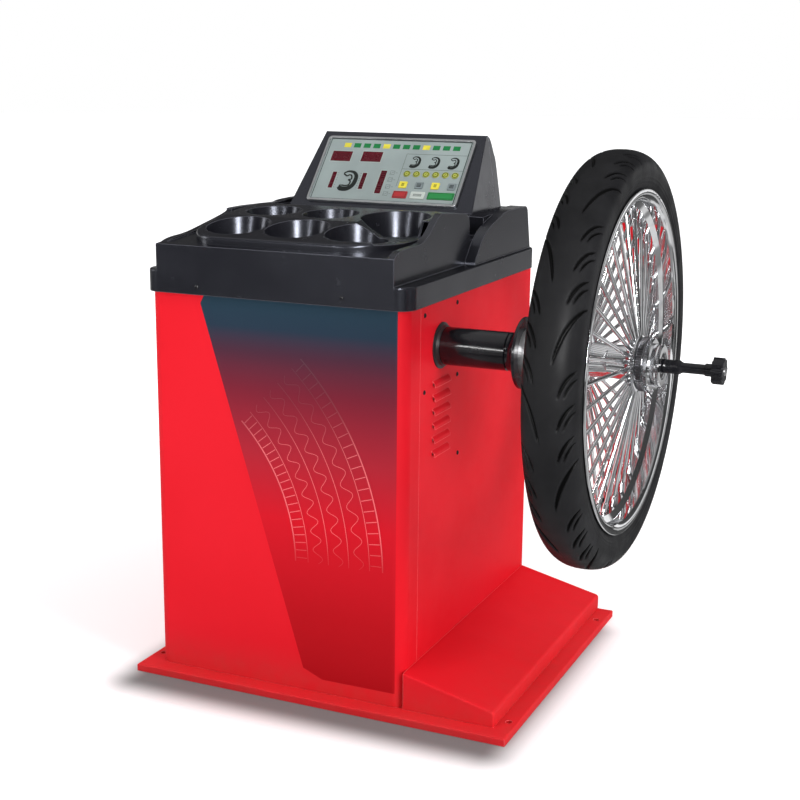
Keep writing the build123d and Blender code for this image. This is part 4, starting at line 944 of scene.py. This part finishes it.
def print_overlay():
    """Borders, boxes, icons and scale marks on the overlay. No lettering."""
    ink, grey, green, yellow, white = (panel_flat(FACE) for _ in range(5))
    low, high = on_panel(BEZEL_LO), on_panel(BEZEL_HI)
    mid_v = (low[1] + high[1]) / 2
    ink.frame(0, mid_v, BEZEL_W - 17 * MM, high[1] - low[1] - 17 * MM, 1.5 * MM)
    # a row of even colour blocks along the top edge
    for i in range(TITLE_BLOCKS):
        flat = green if i % TITLE_YELLOW_EVERY else yellow
        flat.box((TITLE_LEFT + TITLE_PITCH * i) * MM, TITLE_UP * MM, TITLE_W * MM, TITLE_H * MM)
    # large rim icon between the two bars, three small ones over the round keys
    rim_section(ink, -85 * MM, 64 * MM, 44 * MM)
    rounds = [key_place(f"key_round_{i}") for i in range(1, 7)]
    for i in (0, 2, 4):
        rim_section(ink, (rounds[i][0] + rounds[i + 1][0]) / 2 - 1.0 * MM,
                    rounds[0][1] + 29.5 * MM, 25 * MM)
    box_mid = (rounds[0][0] + rounds[5][0]) / 2
    grey.frame(box_mid, rounds[0][1] + 30 * MM, 130 * MM, 37 * MM, 0.8 * MM)
    for side in (-1, 1):
        grey.box(box_mid + side * 65 * MM, rounds[0][1] - 10 * MM, 0.8 * MM, 43 * MM)
    # legend marks beside the right bar
    for k in range(4):
        v = (36 + 17 * k) * MM
        grey.frame(5.5 * MM, v, 9 * MM, 9 * MM, 0.6 * MM)
        grey.stroke([(1 * MM, v - 3 * MM), (10 * MM, v + 3 * MM)], 0.6 * MM)
        grey.box(14.5 * MM, v, 4 * MM, 0.8 * MM)
    # ticks beside both slim bars
    for u in (-111, -61.5):
        for k in range(7):
            ink.box(u * MM, (46 + 6 * k) * MM, 2.2 * MM, 0.6 * MM)
    for flat, name, paint in ((ink, "print_black", INK), (grey, "print_grey", INK_GREY),
                              (green, "print_green", INK_GREEN),
                              (yellow, "print_yellow", INK_YELLOW)):
        flat.make(name, paint, MACHINE, "overlay")
    for low, high in islands(NODES["led_windows"].data):
        u, v = on_panel((low + high) / 2)[:2]
        w, h = high.x - low.x, (high.z - low.z) / PANEL_UP.z
        white.frame(u, v, w + 1.6 * MM, min(h, 60 * MM) + 0.2 * MM, 0.5 * MM)
    white.make("print_window_lines", INK_SILVER, MACHINE, "overlay")


def print_windows():
    """Unlit seven-segment figures and lamp bars behind the red windows' faces."""
    flat = panel_flat(face_height("led_windows") + PRINT_LIFT)
    for low, high in islands(NODES["led_windows"].data):
        u, v = on_panel((low + high) / 2)[:2]
        w, h = high.x - low.x, (high.z - low.z) / PANEL_UP.z - 1.2 * MM
        if w > 30 * MM:
            for k in (-1, 0, 1):
                seven_segments(flat, u + k * 12.4 * MM, v, 8.0 * MM, 13.0 * MM)
        else:
            count = int(h / LAMP_PITCH)
            for k in range(count):
                up = v + (k - (count - 1) / 2) * LAMP_PITCH
                flat.box(u, up, w - 2.6 * MM, 3.2 * MM)
    flat.make("window_segments", SEGMENT, MACHINE, "led_red")


def seven_segments(flat, u, v, w, h):
    """All seven bars of one leaning figure."""
    bar, skew = 1.3 * MM, 0.10
    for dv in (-h / 2, 0, h / 2):
        flat.box(u + dv * skew, v + dv, w - 2.2 * bar, bar)
    for du in (-w / 2, w / 2):
        for dv in (-h / 4, h / 4):
            x = u + du + dv * skew
            half = h / 4 - bar * 0.8
            flat.prism([(x - bar / 2 - half * skew, v + dv - half),
                        (x + bar / 2 - half * skew, v + dv - half),
                        (x + bar / 2 + half * skew, v + dv + half),
                        (x - bar / 2 + half * skew, v + dv + half)])


def print_keys():
    """Rings and plain marks on the keys, riding with each key."""
    for i in range(1, 7):
        name = f"key_round_{i}"
        u, v = key_place(name)[:2]
        flat = panel_flat(face_height(name) + PRINT_LIFT)
        flat.hoop(u, v, 4.3 * MM, 6.1 * MM)
        flat.stroke([(u - 1.7 * MM, v - 1.4 * MM), (u + 1.7 * MM, v + 1.4 * MM)], 1.2 * MM)
        flat.make(f"ring_{name}", INK_OLIVE, name, "key_green")
    for name, w, h, paint in (("key_square_1", 6, 6, INK_OLIVE), ("key_square_2", 9, 7, INK),
                              ("key_square_3", 6, 6, INK_OLIVE), ("key_square_4", 9, 7, INK),
                              ("key_clear", 18, 5, INK_GREY)):
        u, v = key_place(name)[:2]
        flat = panel_flat(face_height(name) + PRINT_LIFT)
        for k in range(3):
            flat.box(u, v + (k - 1) * h * 0.42 * MM, w * MM, h * 0.22 * MM)
        flat.make(f"mark_{name}", paint, name)
    for name in ("key_stop", "key_start"):
        u, v = key_place(name)[:2]
        low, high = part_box(name)
        flat = panel_flat(face_height(name) + PRINT_LIFT)
        flat.frame(u, v, (high.x - low.x) - 4.5 * MM, 12 * MM, 0.6 * MM)
        flat.make(f"mark_{name}", INK, name)


print_overlay()
print_windows()
print_keys()

# ---- tread pattern on the front panel -----------------------------------------------


ART_CENTRE = (-60, 250)        # of all arcs, across the panel and up from the floor, in mm
ART_RAILS = ((350, 2.2), (375, 1.1), (415, 1.1), (455, 1.1), (495, 1.1), (520, 2.2))
ART_BARS = ((352, 373), (497, 518))
ART_WAVES = (395, 435, 475)
ART_FROM, ART_TO = 0.02, 0.80  # radians up from the centre's height
ART_STEPS, ART_BAR_COUNT = 108, 20
ART_SWING, ART_HUMPS = 9, 9
ART_FADE_IN, ART_FADE_OUT = (0.255, 0.33), (0.545, 0.44)  # heights, fading in and out again
ART_PINK = srgb(255, 128, 134)


def print_front_art():
    """Plain tread pattern made by formula: arcs round one centre, cross bars and waves."""
    flat = Flat((FRONT_LO.x, FRONT_LO.y, 0), (1, 0, 0), (0, 0, 1), 0.03 * MM, 0.10 * MM)

    def point(radius, share):
        turn = ART_FROM + (ART_TO - ART_FROM) * share
        return Vector((ART_CENTRE[0] + radius * math.cos(turn),
                       ART_CENTRE[1] + radius * math.sin(turn))) * MM

    shares = [k / ART_STEPS for k in range(ART_STEPS + 1)]
    for radius, width in ART_RAILS:
        flat.stroke([point(radius, share) for share in shares], width * MM)
    for inner, outer in ART_BARS:
        for k in range(ART_BAR_COUNT):
            share = (k + 0.5) / ART_BAR_COUNT
            flat.stroke([point(inner, share), point(outer, share)], 1.4 * MM)
    for radius in ART_WAVES:
        flat.stroke([point(radius + ART_SWING * math.sin(ART_HUMPS * math.tau * share), share)
                     for share in shares], 0.9 * MM)
    s = Shader("art_pink", Roughness=0.34)
    z = xyz(s)[2]
    shown = s.multiply(s.step(z, *ART_FADE_IN), s.step(z, *ART_FADE_OUT))
    s.link(s.mix(s.multiply(shown, 0.60), field_colour(s), ART_PINK), "Base_Color")
    flat.make("front_art_lines", s.material, MACHINE, "front_graphic")


print_front_art()

# ---- toothed rings on the hub -------------------------------------------------------


TEETH = 60
TOOTH_HEIGHT = 1.9
BAND_SEAT = 42                 # radii under this, in mm, are the band's foot and stay round
BAND = ((53.3, 41.9), (53.3, 44.6), (54.1, 45.3), (61.9, 45.3), (62.7, 44.6), (62.7, 41.9))


def build_hub_teeth():
    """Dark toothed bands between the polished flanges, one each side."""
    hub_lo, hub_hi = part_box("hub")
    hub_r = (hub_hi.z - hub_lo.z) / 2
    verts, faces = [], []
    turns, n = TEETH * 4, len(BAND)
    for hand in (-1, 1):
        base = len(verts)
        for k in range(turns):
            t = (k + 0.5) * math.tau / turns
            high = k % 4 in (1, 2)
            for dx, r in BAND:
                top = r * MM if r < BAND_SEAT or high else (r - TOOTH_HEIGHT) * MM
                top = min(top, hub_r - 1.2 * MM)
                verts.append((WHEEL_MID + hand * dx * MM, AXLE.y + top * math.cos(t),
                              AXLE.z + top * math.sin(t)))
        for k in range(turns):
            a, b = base + k * n, base + (k + 1) % turns * n
            for i in range(n):
                j = (i + 1) % n
                quad = [a + i, a + j, b + j, b + i]
                faces.append(quad if hand > 0 else quad[::-1])
    piece("hub_toothed_rings", verts, faces, DARK_CHROME, SPINDLE)


build_hub_teeth()
